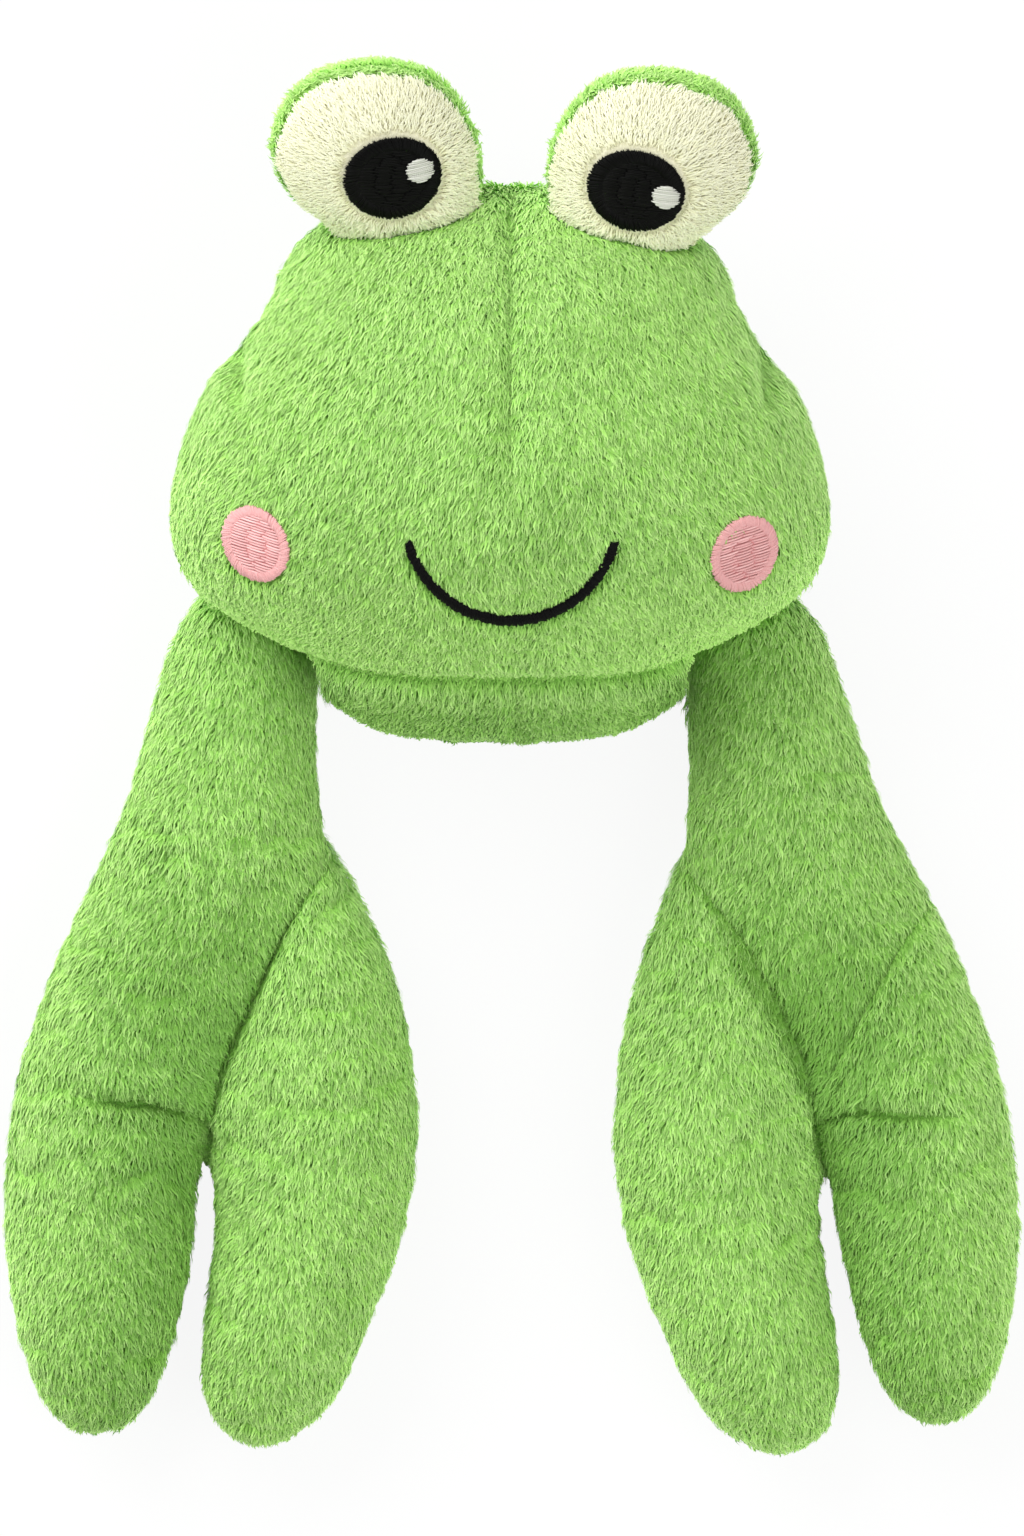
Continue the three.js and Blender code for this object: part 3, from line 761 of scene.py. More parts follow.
@dataclass
class HeadForm(StuffedForm):
    """Wide head that is also the body: a face over a belly, and a flat back."""

    full: float = 2.3
    swell: float = -0.3
    length: float = 137.5
    width: float = 165.0
    face_depth: float = 66.0
    back_depth: float = 46.0
    middle_height: float = 45.5
    face_turn: float = 2.8
    snout_rise: float = 5.0
    snout_spread: float = 22.0
    snout_level: float = -14.0
    chin_seam: tuple[float, float, float] = (14.7, 36.0, 13.0)
    belly_seam: float = 3.7
    dome_shift: float = 0.9
    pads: list["PadForm"] = field(default_factory=list)

    WIDTH = Profile((-1, 1.5), (-0.972, 1.33), (-0.919, 1.097), (-0.88, 1.03), (-0.822, 0.963),
                    (-0.77, 0.872), (-0.71, 0.79), (-0.6, 0.89), (-0.48, 1.01), (-0.3, 1.02), (0, 0.965),
                    (0.3, 0.91), (0.5, 0.86), (0.65, 0.905), (0.87, 1.11), (1, 1.4))
    DEPTH = Profile((-1, 0.62), (-0.8, 0.8), (-0.55, 0.93), (-0.25, 1), (0.1, 0.96), (0.6, 0.86), (1, 0.66))
    SIDE_GROOVE = Groove(1.2, 1.8)
    CHIN_GROOVE = Groove(1.6, 2.0)
    DART_GROOVE = Groove(2.5, 1.7)
    BELLY_GROOVE = Groove(1.0, 1.5)
    FOREHEAD_CREASES = ((Side.LEFT, -64.5, Groove(1.7, 2.6)), (Side.RIGHT, 66.0, Groove(2.0, 2.6)))
    CREASE_LEAN, CREASE_LEVEL = 0.1, 25
    CREASE_START, CREASE_END = (12, 20), (26, 34)
    FRONT_RUN, DART_RUN = (0, 12), (-5, 12)
    DOME, JOWL = (0.68, 0.2), (0.62, 0.8)
    CROWN, ARMPIT = (58, 66), (32, 47)
    # Painted light on the crown, and painted shade on the belly and beside the arms.
    CROWN_SWELLING, CROWN_PALER = 1.2, 0.25
    BELLY_DARKER, ARMPIT_DARKER = 0.42, 0.5
    PILE_FAN, PILE_FALL, PILE_HANG = 0.75, 0.8, 0.7
    BARE_DART = 0.6
    CHIN_TRIM, CHIN_TRIM_RUN = 0.55, 9

    def ends(self) -> Pair:
        """Belly end and crown."""
        return -self.length / 2, self.length / 2

    def section(self, y: Array) -> Rows:
        """Cross-sections at levels between belly and crown."""
        level = np.clip(2 * np.asarray(y, float) / self.length, -1, 1)
        around = np.sqrt(1 - level ** 2)
        dome, spread = self.DOME
        aside = self.dome_shift * (bell(level - dome, spread) + smooth_step(*self.JOWL, -level))
        return Rows(aside, np.full_like(level, self.middle_height),
                    self.width / 2 * self.WIDTH(level) * around, self.face_depth * self.DEPTH(level) * around,
                    self.back_depth * around ** 0.75)

    def rise(self, x: Array, y: Array) -> Array:
        """Bulge of the snout."""
        away = np.hypot(x - self.face_turn, y - self.snout_level)
        return self.snout_rise * bell(away, self.snout_spread)

    def face_height(self, x: float, y: float) -> float:
        """Height of the face above the floor."""
        rows = self.section(np.array([y]))
        share = (1 - min(abs(x) / rows.half[0], 1) ** self.full) ** (1 / self.full)
        return float(self.middle_height + share * (rows.above[0] + self.rise(np.array(x), np.array(y))))

    def swelling(self, points: Array) -> Array:
        """Fuller at the crown."""
        return super().swelling(points) + self.CROWN_SWELLING * smooth_step(*self.CROWN, points[:, 1])

    def chin_plane(self) -> tuple[Vector, Vector]:
        """Plane of the seam between face and belly."""
        up, over, tilt = self.chin_seam
        lean = math.radians(tilt)
        return (Vector((0, up - self.length / 2, self.middle_height + over)),
                Vector((0, math.cos(lean), math.sin(lean))))

    def chin_distance(self, points: Array) -> Array:
        """How far points lie above the chin seam."""
        point, normal = self.chin_plane()
        return (points - np.array(point)) @ np.array(normal)

    def seam_depth(self, points: Array) -> Array:
        """Side seam, chin seam, centre dart and the small creases beside the forehead."""
        x, y, z = points.T
        above = self.chin_distance(points)
        front = smooth_step(*self.FRONT_RUN, z - self.middle_height)
        side = self.SIDE_GROOVE(z - self.middle_height)
        chin = self.CHIN_GROOVE(above) * front
        dart = self.DART_GROOVE(x - self.face_turn) * smooth_step(*self.DART_RUN, y) * front
        belly = self.BELLY_GROOVE(x - self.belly_seam) * front * (above < 0)
        crease = np.zeros(len(points))
        for end, middle, groove in self.FOREHEAD_CREASES:
            band = groove(x - middle + self.CREASE_LEAN * end.value * (y - self.CREASE_LEVEL))
            band = band * smooth_step(*self.CREASE_START, y) * (1 - smooth_step(*self.CREASE_END, y))
            crease += band * front
        return side + chin + dart + belly + crease

    def shade(self, points: Array, normals: Array) -> Array:
        """Painted shade on the belly under the snout, most of all beside the arms, and painted light on the
        crown.
        """
        below = -self.chin_distance(points)
        # painted shade where snout and arms shadow the belly, painted light where the crown faces the lamp
        beside_arms = smooth_step(*self.ARMPIT, np.abs(points[:, 0])) * smooth_step(0, 3, below)
        belly = self.BELLY_DARKER * smooth_step(1, 12, below) + self.ARMPIT_DARKER * beside_arms
        crown = self.CROWN_PALER * smooth_step(*self.CROWN, points[:, 1])
        return super().shade(points, normals) - belly + crown

    def comb(self, points: Array, normals: Array) -> Array:
        """Pile combed down from the crown and fanning out to both sides."""
        x, y, z = points.T
        front = np.where(z > self.middle_height, 1.0, -1.0)
        fan = self.PILE_FAN * (x - self.face_turn) / (self.width / 2)
        hang = self.PILE_HANG * (1 - np.abs(normals[:, 2]))
        return np.stack([fan, -np.ones_like(x), front * normals[:, 1] * self.PILE_FALL - hang], axis=1)

    def cover(self, points: Array, normals: Array) -> Array:
        """No pile where the eye pads stand and in the dart."""
        x, y, z = points.T
        dart = (np.abs(x - self.face_turn) < self.BARE_DART) & (y > -1) & (z > self.middle_height)
        share = np.where(dart, 0.0, 1.0)
        for pad in self.pads:
            share *= ~pad.holds(pad.local(np.array(self.place)[:3, 3] + points * MM))
        return share

    def trim(self, points: Array) -> Array:
        """Shorter pile just above the chin seam."""
        above = self.chin_distance(points)
        return np.where(above > 0, np.clip(self.CHIN_TRIM + above / self.CHIN_TRIM_RUN, 0, 1), 1)

    def planes(self) -> Planes:
        """Side seam and chin seam."""
        return [(Vector((0, 0, self.middle_height)), UP), self.chin_plane()]

    def panel(self, points: Array) -> Array:
        """Face, belly or back."""
        front = np.where(self.chin_distance(points) > 0, "face", "belly")
        return np.where(points[:, 2] > self.middle_height, front, "back")


@dataclass
class PadForm(StuffedForm):
    """Padded eye that leans back on the crown: y runs up from its base."""

    full: float = 2.1
    levels: int = 56
    sides: int = 64
    outward: float = 1.0
    thick: float = 29.0
    seam: float = 3.8
    pupil: Pair = (0.0, 16.0)
    head: HeadForm | None = None

    OUTER = Profile((-19, 5), (-8, 10), (-1, 14.2), (4, 18.1), (9, 22.5), (15, 24.9), (21, 25.6),
                    (26.4, 24.4), (32, 21.5), (34.8, 19.3), (37.6, 16), (39.9, 11), (41, 6.5))
    INNER = Profile((-19, 10), (-8, 20), (0, 24), (8, 25.2), (13, 25.5), (19, 25), (24.7, 23.3),
                    (28.6, 21.5), (32.3, 19.1), (35.8, 15.7), (38.6, 10.6), (40.4, 5), (41, 2))
    SEAM_GROOVE = Groove(1.3, 1.5)
    THICKEST, EDGE_ROUND = 0.45, 0.9
    HELD_SHARE, HEAD_GAP = 0.95, 0.3
    BACK_SWELLING, FRONT_SWELLING = -0.2, 0.7
    FRONT_WRAP, RIM_WRAP, BACK_WRAP = -0.4, 0.5, -2.5
    RIM_WIDTH = 4

    def ends(self) -> Pair:
        """Hidden foot and top of the pad."""
        return self.OUTER.places[0], self.OUTER.places[-1]

    def section(self, y: Array) -> Rows:
        """Cross-sections at levels between foot and top."""
        low, high = self.ends()
        centre = self.THICKEST * high
        away = np.where(y > centre, (y - centre) / (high - centre), (y - centre) / (centre - low))
        deep = self.thick / 2 * np.sqrt(np.clip(1 - away ** 2, 0, 1)) ** self.EDGE_ROUND
        outer, inner = self.OUTER(y), self.INNER(y)
        middle = self.outward * (outer - inner) / 2
        return Rows(middle, np.zeros_like(deep), (outer + inner) / 2, deep, deep)

    def holds(self, points: Array) -> Array:
        """Which points lie inside the pad."""
        rows = self.section(points[:, 1])
        across = np.abs(points[:, 0] - rows.middle) / (rows.half + 0.01)
        deep = np.abs(points[:, 2]) / (rows.above + 0.01)
        return across ** self.full + deep ** self.full < self.HELD_SHARE

    def swelling(self, points: Array) -> Array:
        """Fuller in front of the seam than behind it."""
        return self.BACK_SWELLING + self.FRONT_SWELLING * smooth_step(-1.5, 1.5, points[:, 2] - self.seam)

    def closed(self) -> Piece:
        """The pad, cut where it stands on the head."""
        return combine(self.solid(), self.head.solid(self.HEAD_GAP))

    def seam_depth(self, points: Array) -> Array:
        """Seam between the cream front and the green back."""
        return self.SEAM_GROOVE(points[:, 2] - self.seam)

    def comb(self, points: Array, normals: Array) -> Array:
        """Pile that spreads from the pupil and wraps the edge."""
        away = points[:, :2] - np.array(self.pupil)
        away /= np.maximum(np.linalg.norm(away, axis=1, keepdims=True), 0.1)
        before = points[:, 2] - self.seam
        behind = np.where(before > -self.RIM_WIDTH, self.RIM_WRAP, self.BACK_WRAP)
        wrap = np.where(before > 0, self.FRONT_WRAP, behind)
        return np.column_stack([away, wrap])

    def planes(self) -> Planes:
        """Seam around the pad."""
        return [(Vector((0, 0, self.seam)), UP)]

    def panel(self, points: Array) -> Array:
        """Front or back."""
        return np.where(points[:, 2] > self.seam, "front", "back")


@dataclass
class ClawLines:
    """Seams and folds of a claw, as places out from and down the arm."""

    seam_top: Pair = (-13.4, 57.5)
    crotch: Pair = (14.2, 120.0)
    crease_down: float = 120.0
    palm_seam_end: Pair = (43.7, 70.5)
    finger_spread: float = 0.12
    side_seam: float = 20.0

    def finger_normal(self) -> Vector:
        """Normal of the slanted seam, towards the inner finger."""
        across, down = self.crotch[0] - self.seam_top[0], self.crotch[1] - self.seam_top[1]
        run = Vector((across, -down, 0)).normalized()
        return Vector((run.y, -run.x, 0))

    def crotch_point(self) -> Vector:
        """Where the two fingers meet, in the arm's own axes."""
        return Vector((self.crotch[0], -self.crotch[1], self.side_seam))

    def on_inner_finger(self, points: Array) -> Array:
        """Which points lie beyond the slanted seam, or inside the line between the fingers."""
        x, y, _ = points.T
        beyond = (points - np.array(self.crotch_point())) @ np.array(self.finger_normal()) > 0
        between = self.crotch[0] - self.finger_spread * (y + self.crotch[1])
        return np.where(y > -self.crotch[1], beyond, x < between)

    def along(self, points: Array, end: Pair, bow: float) -> tuple[Array, ...]:
        """Where points lie by a seam that runs from the crotch to an end.

        Args:
            points: points in the arm's own axes.
            end: far end of the seam, out from and down the arm.
            bow: how far the seam bows away from the straight line.

        Returns:
            Share of the way along the seam, distance to its left and distance beyond its ends.
        """
        foot = np.array([self.crotch[0], -self.crotch[1]])
        run = np.array([end[0], -end[1]]) - foot
        length = np.linalg.norm(run)
        share = (points[:, :2] - foot) @ run / length ** 2
        aside = (points[:, :2] - foot) @ np.array([-run[1], run[0]]) / length
        aside = aside - bow * np.sin(np.pi * np.clip(share, 0, 1))
        over = np.maximum(np.maximum(-share, share - 1), 0) * length
        return np.clip(share, 0, 1), aside, over


@dataclass
class LimbForm(StuffedForm):
    """Long form given by its two edges: x runs out from the body and -y runs down the limb."""

    tip_round: float = 38.0
    outer_fit: Profile = Profile((0, 0), (1, 0))
    inner_fit: Profile = Profile((0, 0), (1, 0))
    lines: ClawLines = field(default_factory=ClawLines)

    OUTER: ClassVar[Profile]
    INNER: ClassVar[Profile]
    THICK: ClassVar[Profile]
    PILE_FAN, PILE_FALL, PILE_HANG = 0.35, 0.6, 0.25
    FAN_WIDTH = 25

    def ends(self) -> Pair:
        """Finger tip and top."""
        return -self.OUTER.places[-1], -self.OUTER.places[0]

    def section(self, y: Array) -> Rows:
        """Cross-sections at levels between tip and top."""
        down = -np.asarray(y, float)
        past = np.maximum((down - self.OUTER.places[-1]) / self.tip_round + 1, 0)
        tip = np.sqrt(np.clip(1 - past ** 2, 0, 1))
        deep = self.THICK(down) / 2
        return Rows(self.middle(down), np.full_like(down, self.lines.side_seam) + deep - deep.max(),
                    (self.outer_edge(down) - self.inner_edge(down)) / 2, tip * deep, tip * deep)

    def outer_edge(self, down: Array) -> Array:
        """Edge away from the body, fitted to this limb."""
        return self.OUTER(down) + self.outer_fit(down)

    def inner_edge(self, down: Array) -> Array:
        """Edge towards the body, fitted to this limb."""
        return self.INNER(down) + self.inner_fit(down)

    def middle(self, down: Array) -> Array:
        """Middle line between both edges."""
        return (self.outer_edge(down) + self.inner_edge(down)) / 2

    def comb(self, points: Array, normals: Array) -> Array:
        """Pile that runs down the limb and over its edges."""
        x, y, z = points.T
        fan = self.PILE_FAN * (x - self.middle(-y)) / self.FAN_WIDTH
        front = np.where(z > self.lines.side_seam, 1.0, -1.0)
        fall = front * normals[:, 1] * self.PILE_FALL - self.PILE_HANG
        return np.stack([fan, -np.ones_like(x), fall], axis=1)


@dataclass
class ArmForm(LimbForm):
    """Arm that widens into a palm and ends in the outer finger."""

    root_tuck: float = 7.0
    root_slant: float = 20.0
    root_round: float = 14.0
    split_down: float = 50.0
    palm_seam: float = 1.0
    seam_bow: float = 0.0
    seam_fade: Pair = (0.5, 1.0)
    crease_depth: float = 4.0
    crease_slope: float = 0.1
    inner: "FingerForm | None" = None
    head: HeadForm | None = None

    OUTER = Profile((-45, 2), (-20, 8), (-8, 16.5), (2, 22.2), (12, 25.8), (22, 28.5), (32, 31.3), (42, 33.9),
                    (52, 37.9), (62, 42.7), (72, 47.1), (82, 51.6), (92, 55.1), (102, 58.2), (112, 60.7),
                    (122, 62.5), (132, 63.4), (142, 64), (152, 63.8), (162, 62.8), (172, 61.1), (182, 58.5),
                    (187, 56.5), (192, 53.8), (197, 48.8), (199, 44))
    INNER = Profile((-45, -10.7), (20, -11), (32, -11.3), (42, -12.1), (52, -13.2), (57, -15.3), (62, -18),
                    (67, -20.3), (72, -22), (77, -22.5), (82, -21), (90, -15), (100, -6.5), (110, 1.5),
                    (116, 7.5), (122, 13.6), (126, 16.8), (130, 18.3), (137, 19.6), (147, 20.4), (157, 21.8),
                    (167, 23.5), (177, 25.8), (187, 29), (192, 31.6), (197, 36.2), (199, 41))
    THICK = Profile((0, 37), (71, 40), (120, 41))
    SIDE_GROOVE = Groove(1.2, 1.7)
    PARTING_GROOVE = Groove(6.0, 2.0)
    CROTCH_EASE = Groove(0.3, 8)
    CREASE_REACH, PALM_REACH, SLANTED_REACH = (9.0, 1.6), (7.0, 2.0), (11.0, 1.9)
    SLANTED_DEPTH = 5.5
    SEAM_END, SLANTED_END = 3, 4
    FRONT_RUN, PALM_FADE = (-4, 10), (0.72, 1.06)
    CREASE_RAISE, CREASE_WAVE, CREASE_WAVE_RUN = 2, 0.9, 6
    CREASE_START, CREASE_FADE = (-1, 4), (34, 54)
    PARTING_ASIDE, PARTING_LENGTH = 1.0, 10
    HOLLOW_DEPTH, SEAM_HOLLOW, HOLLOW_REACH = 0.8, 0.6, (13, 19)
    DEEPEST_SHARE = 0.7
    CROTCH_SWELLING, CROTCH_LEAN, SWELLING_FADE = 2.5, 0.08, (10, 24)
    CREASE_TRIM, SLANTED_TRIM, PALM_TRIM = 6.5, 2.4, 3
    TRIM_SHARE, CREASE_TRIM_SHARE, CROTCH_TRIM, SHORTEST = 0.72, 0.8, 5, 0.3
    # Painted shade in the palm and on the outer finger beside the inner one.
    PALM_DARKER, PALM_SHADE_REACH = 0.4, (26, 40)
    FINGER_DARKER, FINGER_SHADE_WIDTH, FINGER_START = 0.34, 20, (118, 134)
    ROOT_FACING, ROOT_DEPTH = 0.7, 14
    HEAD_GAP, BLOCK_REACH, BLOCK_HEIGHTS = 0.8, 90, (-60, 120)

    def root_way(self) -> Vector:
        """Way from the root into the arm."""
        slant = math.radians(self.root_slant)
        return Vector((math.sin(slant), -math.cos(slant), 0))

    def section(self, y: Array) -> Rows:
        """Cross-sections at levels between tip and root, whose underside is rounded."""
        rows = super().section(y)
        low = np.clip((self.root_round - self.root_tuck + np.asarray(y, float)) / self.root_round, 0, 0.95)
        return replace(rows, below=rows.below * np.sqrt(1 - low ** 2))

    def closed(self) -> Piece:
        """The arm joined with its inner finger, cut at its root and off the head."""
        arm = combine(self.solid(), self.inner.solid(), "UNION")
        turn = Matrix.Rotation(math.radians(self.root_slant), 4, "Z")
        back = Matrix.Translation(self.root_way() * -self.root_tuck * MM) @ turn
        far = self.BLOCK_REACH
        plan = ((-far, 0), (far, 0), (far, far), (-far, far))
        block = np.array([(x, y, z) for z in self.BLOCK_HEIGHTS for x, y in plan], float)
        box: Faces = [(3, 2, 1, 0), (4, 5, 6, 7), (0, 1, 5, 4), (1, 2, 6, 5), (2, 3, 7, 6), (3, 0, 4, 7)]
        combine(arm, mesh_object("root_block", block, box, self.place @ back))
        return combine(arm, self.head.solid(self.HEAD_GAP))

    def seam_depth(self, points: Array) -> Array:
        """Side seam, finger crease, both seams of the palm, its hollow and the line between the fingers."""
        x, y, z = points.T
        lines = self.lines
        front = smooth_step(*self.FRONT_RUN, z - lines.side_seam)
        side = self.SIDE_GROOVE(z - lines.side_seam)
        fold, strength = self.crease(points)
        crease = self.crease_depth * valley(fold, *self.CREASE_REACH) * strength * front
        share, aside, over = lines.along(points, lines.palm_seam_end, 0)
        palm = self.palm_seam * valley(-aside, *self.PALM_REACH) * (1 - smooth_step(*self.PALM_FADE, share))
        palm = palm * bell(over, self.SEAM_END) * front
        share, aside, over = lines.along(points, lines.seam_top, self.seam_bow)
        fading = 1 - smooth_step(*self.seam_fade, share)
        slanted = self.SLANTED_DEPTH * fading * valley(aside, *self.SLANTED_REACH)
        slanted = slanted * bell(over, self.SLANTED_END) * front
        end = lines.crotch[0] + self.PARTING_ASIDE, lines.crotch[1] + self.PARTING_LENGTH
        _, aside, over = lines.along(points, end, 0)
        parting = self.PARTING_GROOVE(aside) * bell(over, self.SEAM_END)
        hollow = self.HOLLOW_DEPTH + self.SEAM_HOLLOW * self.palm_seam
        hollow = hollow * self.in_palm(points, *self.HOLLOW_REACH) * front
        drawn = np.maximum(np.maximum(crease, palm), np.maximum(slanted, parting)) + hollow
        near = np.hypot(x - lines.crotch[0], y + lines.crotch[1])
        drawn = drawn * (1 - self.CROTCH_EASE(near))
        return side + np.minimum(drawn, self.DEEPEST_SHARE * np.abs(z - lines.side_seam))

    def swelling(self, points: Array) -> Array:
        """Fuller where the two fingers part, so that they touch there."""
        below = -points[:, 1] - self.lines.crotch[1]
        aside = points[:, 0] - self.lines.crotch[0] - self.CROTCH_LEAN * below
        near = bell(aside, 6) * bell(np.minimum(below, 0), 5) * (1 - smooth_step(*self.SWELLING_FADE, below))
        return super().swelling(points) + self.CROTCH_SWELLING * near

    def crease(self, points: Array) -> tuple[Array, Array]:
        """How far points lie above the finger crease, and how strong it is there."""
        x, y, _ = points.T
        out = x - self.lines.crotch[0]
        wave = self.CREASE_WAVE * np.sin(x / self.CREASE_WAVE_RUN)
        fold = y + self.lines.crease_down + self.CREASE_RAISE - self.crease_slope * out + wave
        return fold, smooth_step(*self.CREASE_START, out) * (1 - smooth_step(*self.CREASE_FADE, x))

    def trim(self, points: Array) -> Array:
        """Shorter pile on the palm's side of the crease and of both palm seams."""
        fold, strength = self.crease(points)
        _, aside, over = self.lines.along(points, self.lines.seam_top, self.seam_bow)
        _, palm, past = self.lines.along(points, self.lines.palm_seam_end, 0)
        gaps = ((fold / self.CREASE_TRIM, self.CREASE_TRIM_SHARE * strength),
                (-aside / self.SLANTED_TRIM, over < 1),
                (palm / self.PALM_TRIM, (past < 1) * min(self.palm_seam / 3, 1)))
        out, down = self.lines.crotch
        near = np.hypot(points[:, 0] - out - 0.5, (points[:, 1] + down + 8) / 1.8)
        left = np.clip(near / self.CROTCH_TRIM, self.SHORTEST, 1)
        for gap, share in gaps:
            cut = np.where(gap >= 0, np.clip(self.TRIM_SHARE - gap, 0, 1), 0)
            left = np.minimum(left, 1 - share * cut)
        return left

    def in_palm(self, points: Array, across: float, along: float) -> Array:
        """How much points lie in the palm: 1 in its middle, running out over two distances."""
        x, y, _ = points.T
        out, down = self.lines.crotch
        near = bell(x - out - 1, across) * bell(y + down - 15, along)
        return near * ~self.lines.on_inner_finger(points)

    def shade(self, points: Array, normals: Array) -> Array:
        """Painted shade in the palm's hollow and on the outer finger beside the inner one."""
        front = smooth_step(0, 10, points[:, 2] - self.lines.side_seam)
        down = -points[:, 1]
        beside = bell(points[:, 0] - self.inner_edge(down), self.FINGER_SHADE_WIDTH)
        beside = beside * smooth_step(*self.FINGER_START, down) * ~self.lines.on_inner_finger(points)
        # painted shade where the palm hollow and the side of the gap between the fingers lie in shadow
        palm = self.PALM_DARKER * self.in_palm(points, *self.PALM_SHADE_REACH)
        darker = palm + self.FINGER_DARKER * beside
        return super().shade(points, normals) - darker * front

    def comb(self, points: Array, normals: Array) -> Array:
        """Pile that runs down the arm, or down the inner finger beyond its seam."""
        on_finger = self.lines.on_inner_finger(points)[:, None]
        return np.where(on_finger, self.inner.comb(points, normals), super().comb(points, normals))

    def cover(self, points: Array, normals: Array) -> Array:
        """No pile on the root, where it is sewn to the head."""
        root = (normals[:, 1] > self.ROOT_FACING) & (points[:, 1] > -self.ROOT_DEPTH)
        return np.where(root, 0.0, 1.0)

    def planes(self) -> Planes:
        """Side seam, the line between upper arm and hand, and both lines around the inner finger."""
        crotch = self.lines.crotch_point()
        return [(Vector((0, 0, self.lines.side_seam)), UP),
                (Vector((0, -self.split_down, 0)), Vector((0, 1, 0))), (crotch, self.lines.finger_normal()),
                (crotch, Vector((1, self.lines.finger_spread, 0)))]

    def panel(self, points: Array) -> Array:
        """Upper arm, hand or inner finger, front or back."""
        part = np.where(self.lines.on_inner_finger(points), "inner_finger", "hand")
        part = np.where(points[:, 1] > -self.split_down, "upper_arm", part)
        face = np.where(points[:, 2] > self.lines.side_seam, "_front", "_back")
        return np.char.add(part, face)


@dataclass
class FingerForm(LimbForm):
    """Inner finger of a claw, whose upper end lies inside the palm."""

    OUTER = Profile((50, -11), (60, -2), (72, 3), (90, 9), (110, 12.8), (122, 13), (130, 12.5), (142, 12.6),
                    (152, 12.6), (162, 13.7), (172, 14.9), (182, 15.6), (187, 15.6), (192, 14.6), (197, 12.7),
                    (201, 8.5), (203.5, 3))
    INNER = Profile((50, -13), (52, -13.4), (57, -15.4), (62, -18.1), (67, -20.7), (72, -23.1), (77, -25.4),
                    (82, -27.4), (92, -30.7), (102, -32.9), (112, -34.2), (122, -35.2), (132, -34.9),
                    (142, -33.4), (152, -31.4), (162, -28.4), (172, -24.8), (182, -20.9), (187, -18.6),
                    (192, -15.5), (197, -11), (201, -5), (203.5, 0))
    THICK = Profile((50, 8), (58, 20), (66, 30), (74, 35.5), (84, 38.5), (95, 40), (110, 41))


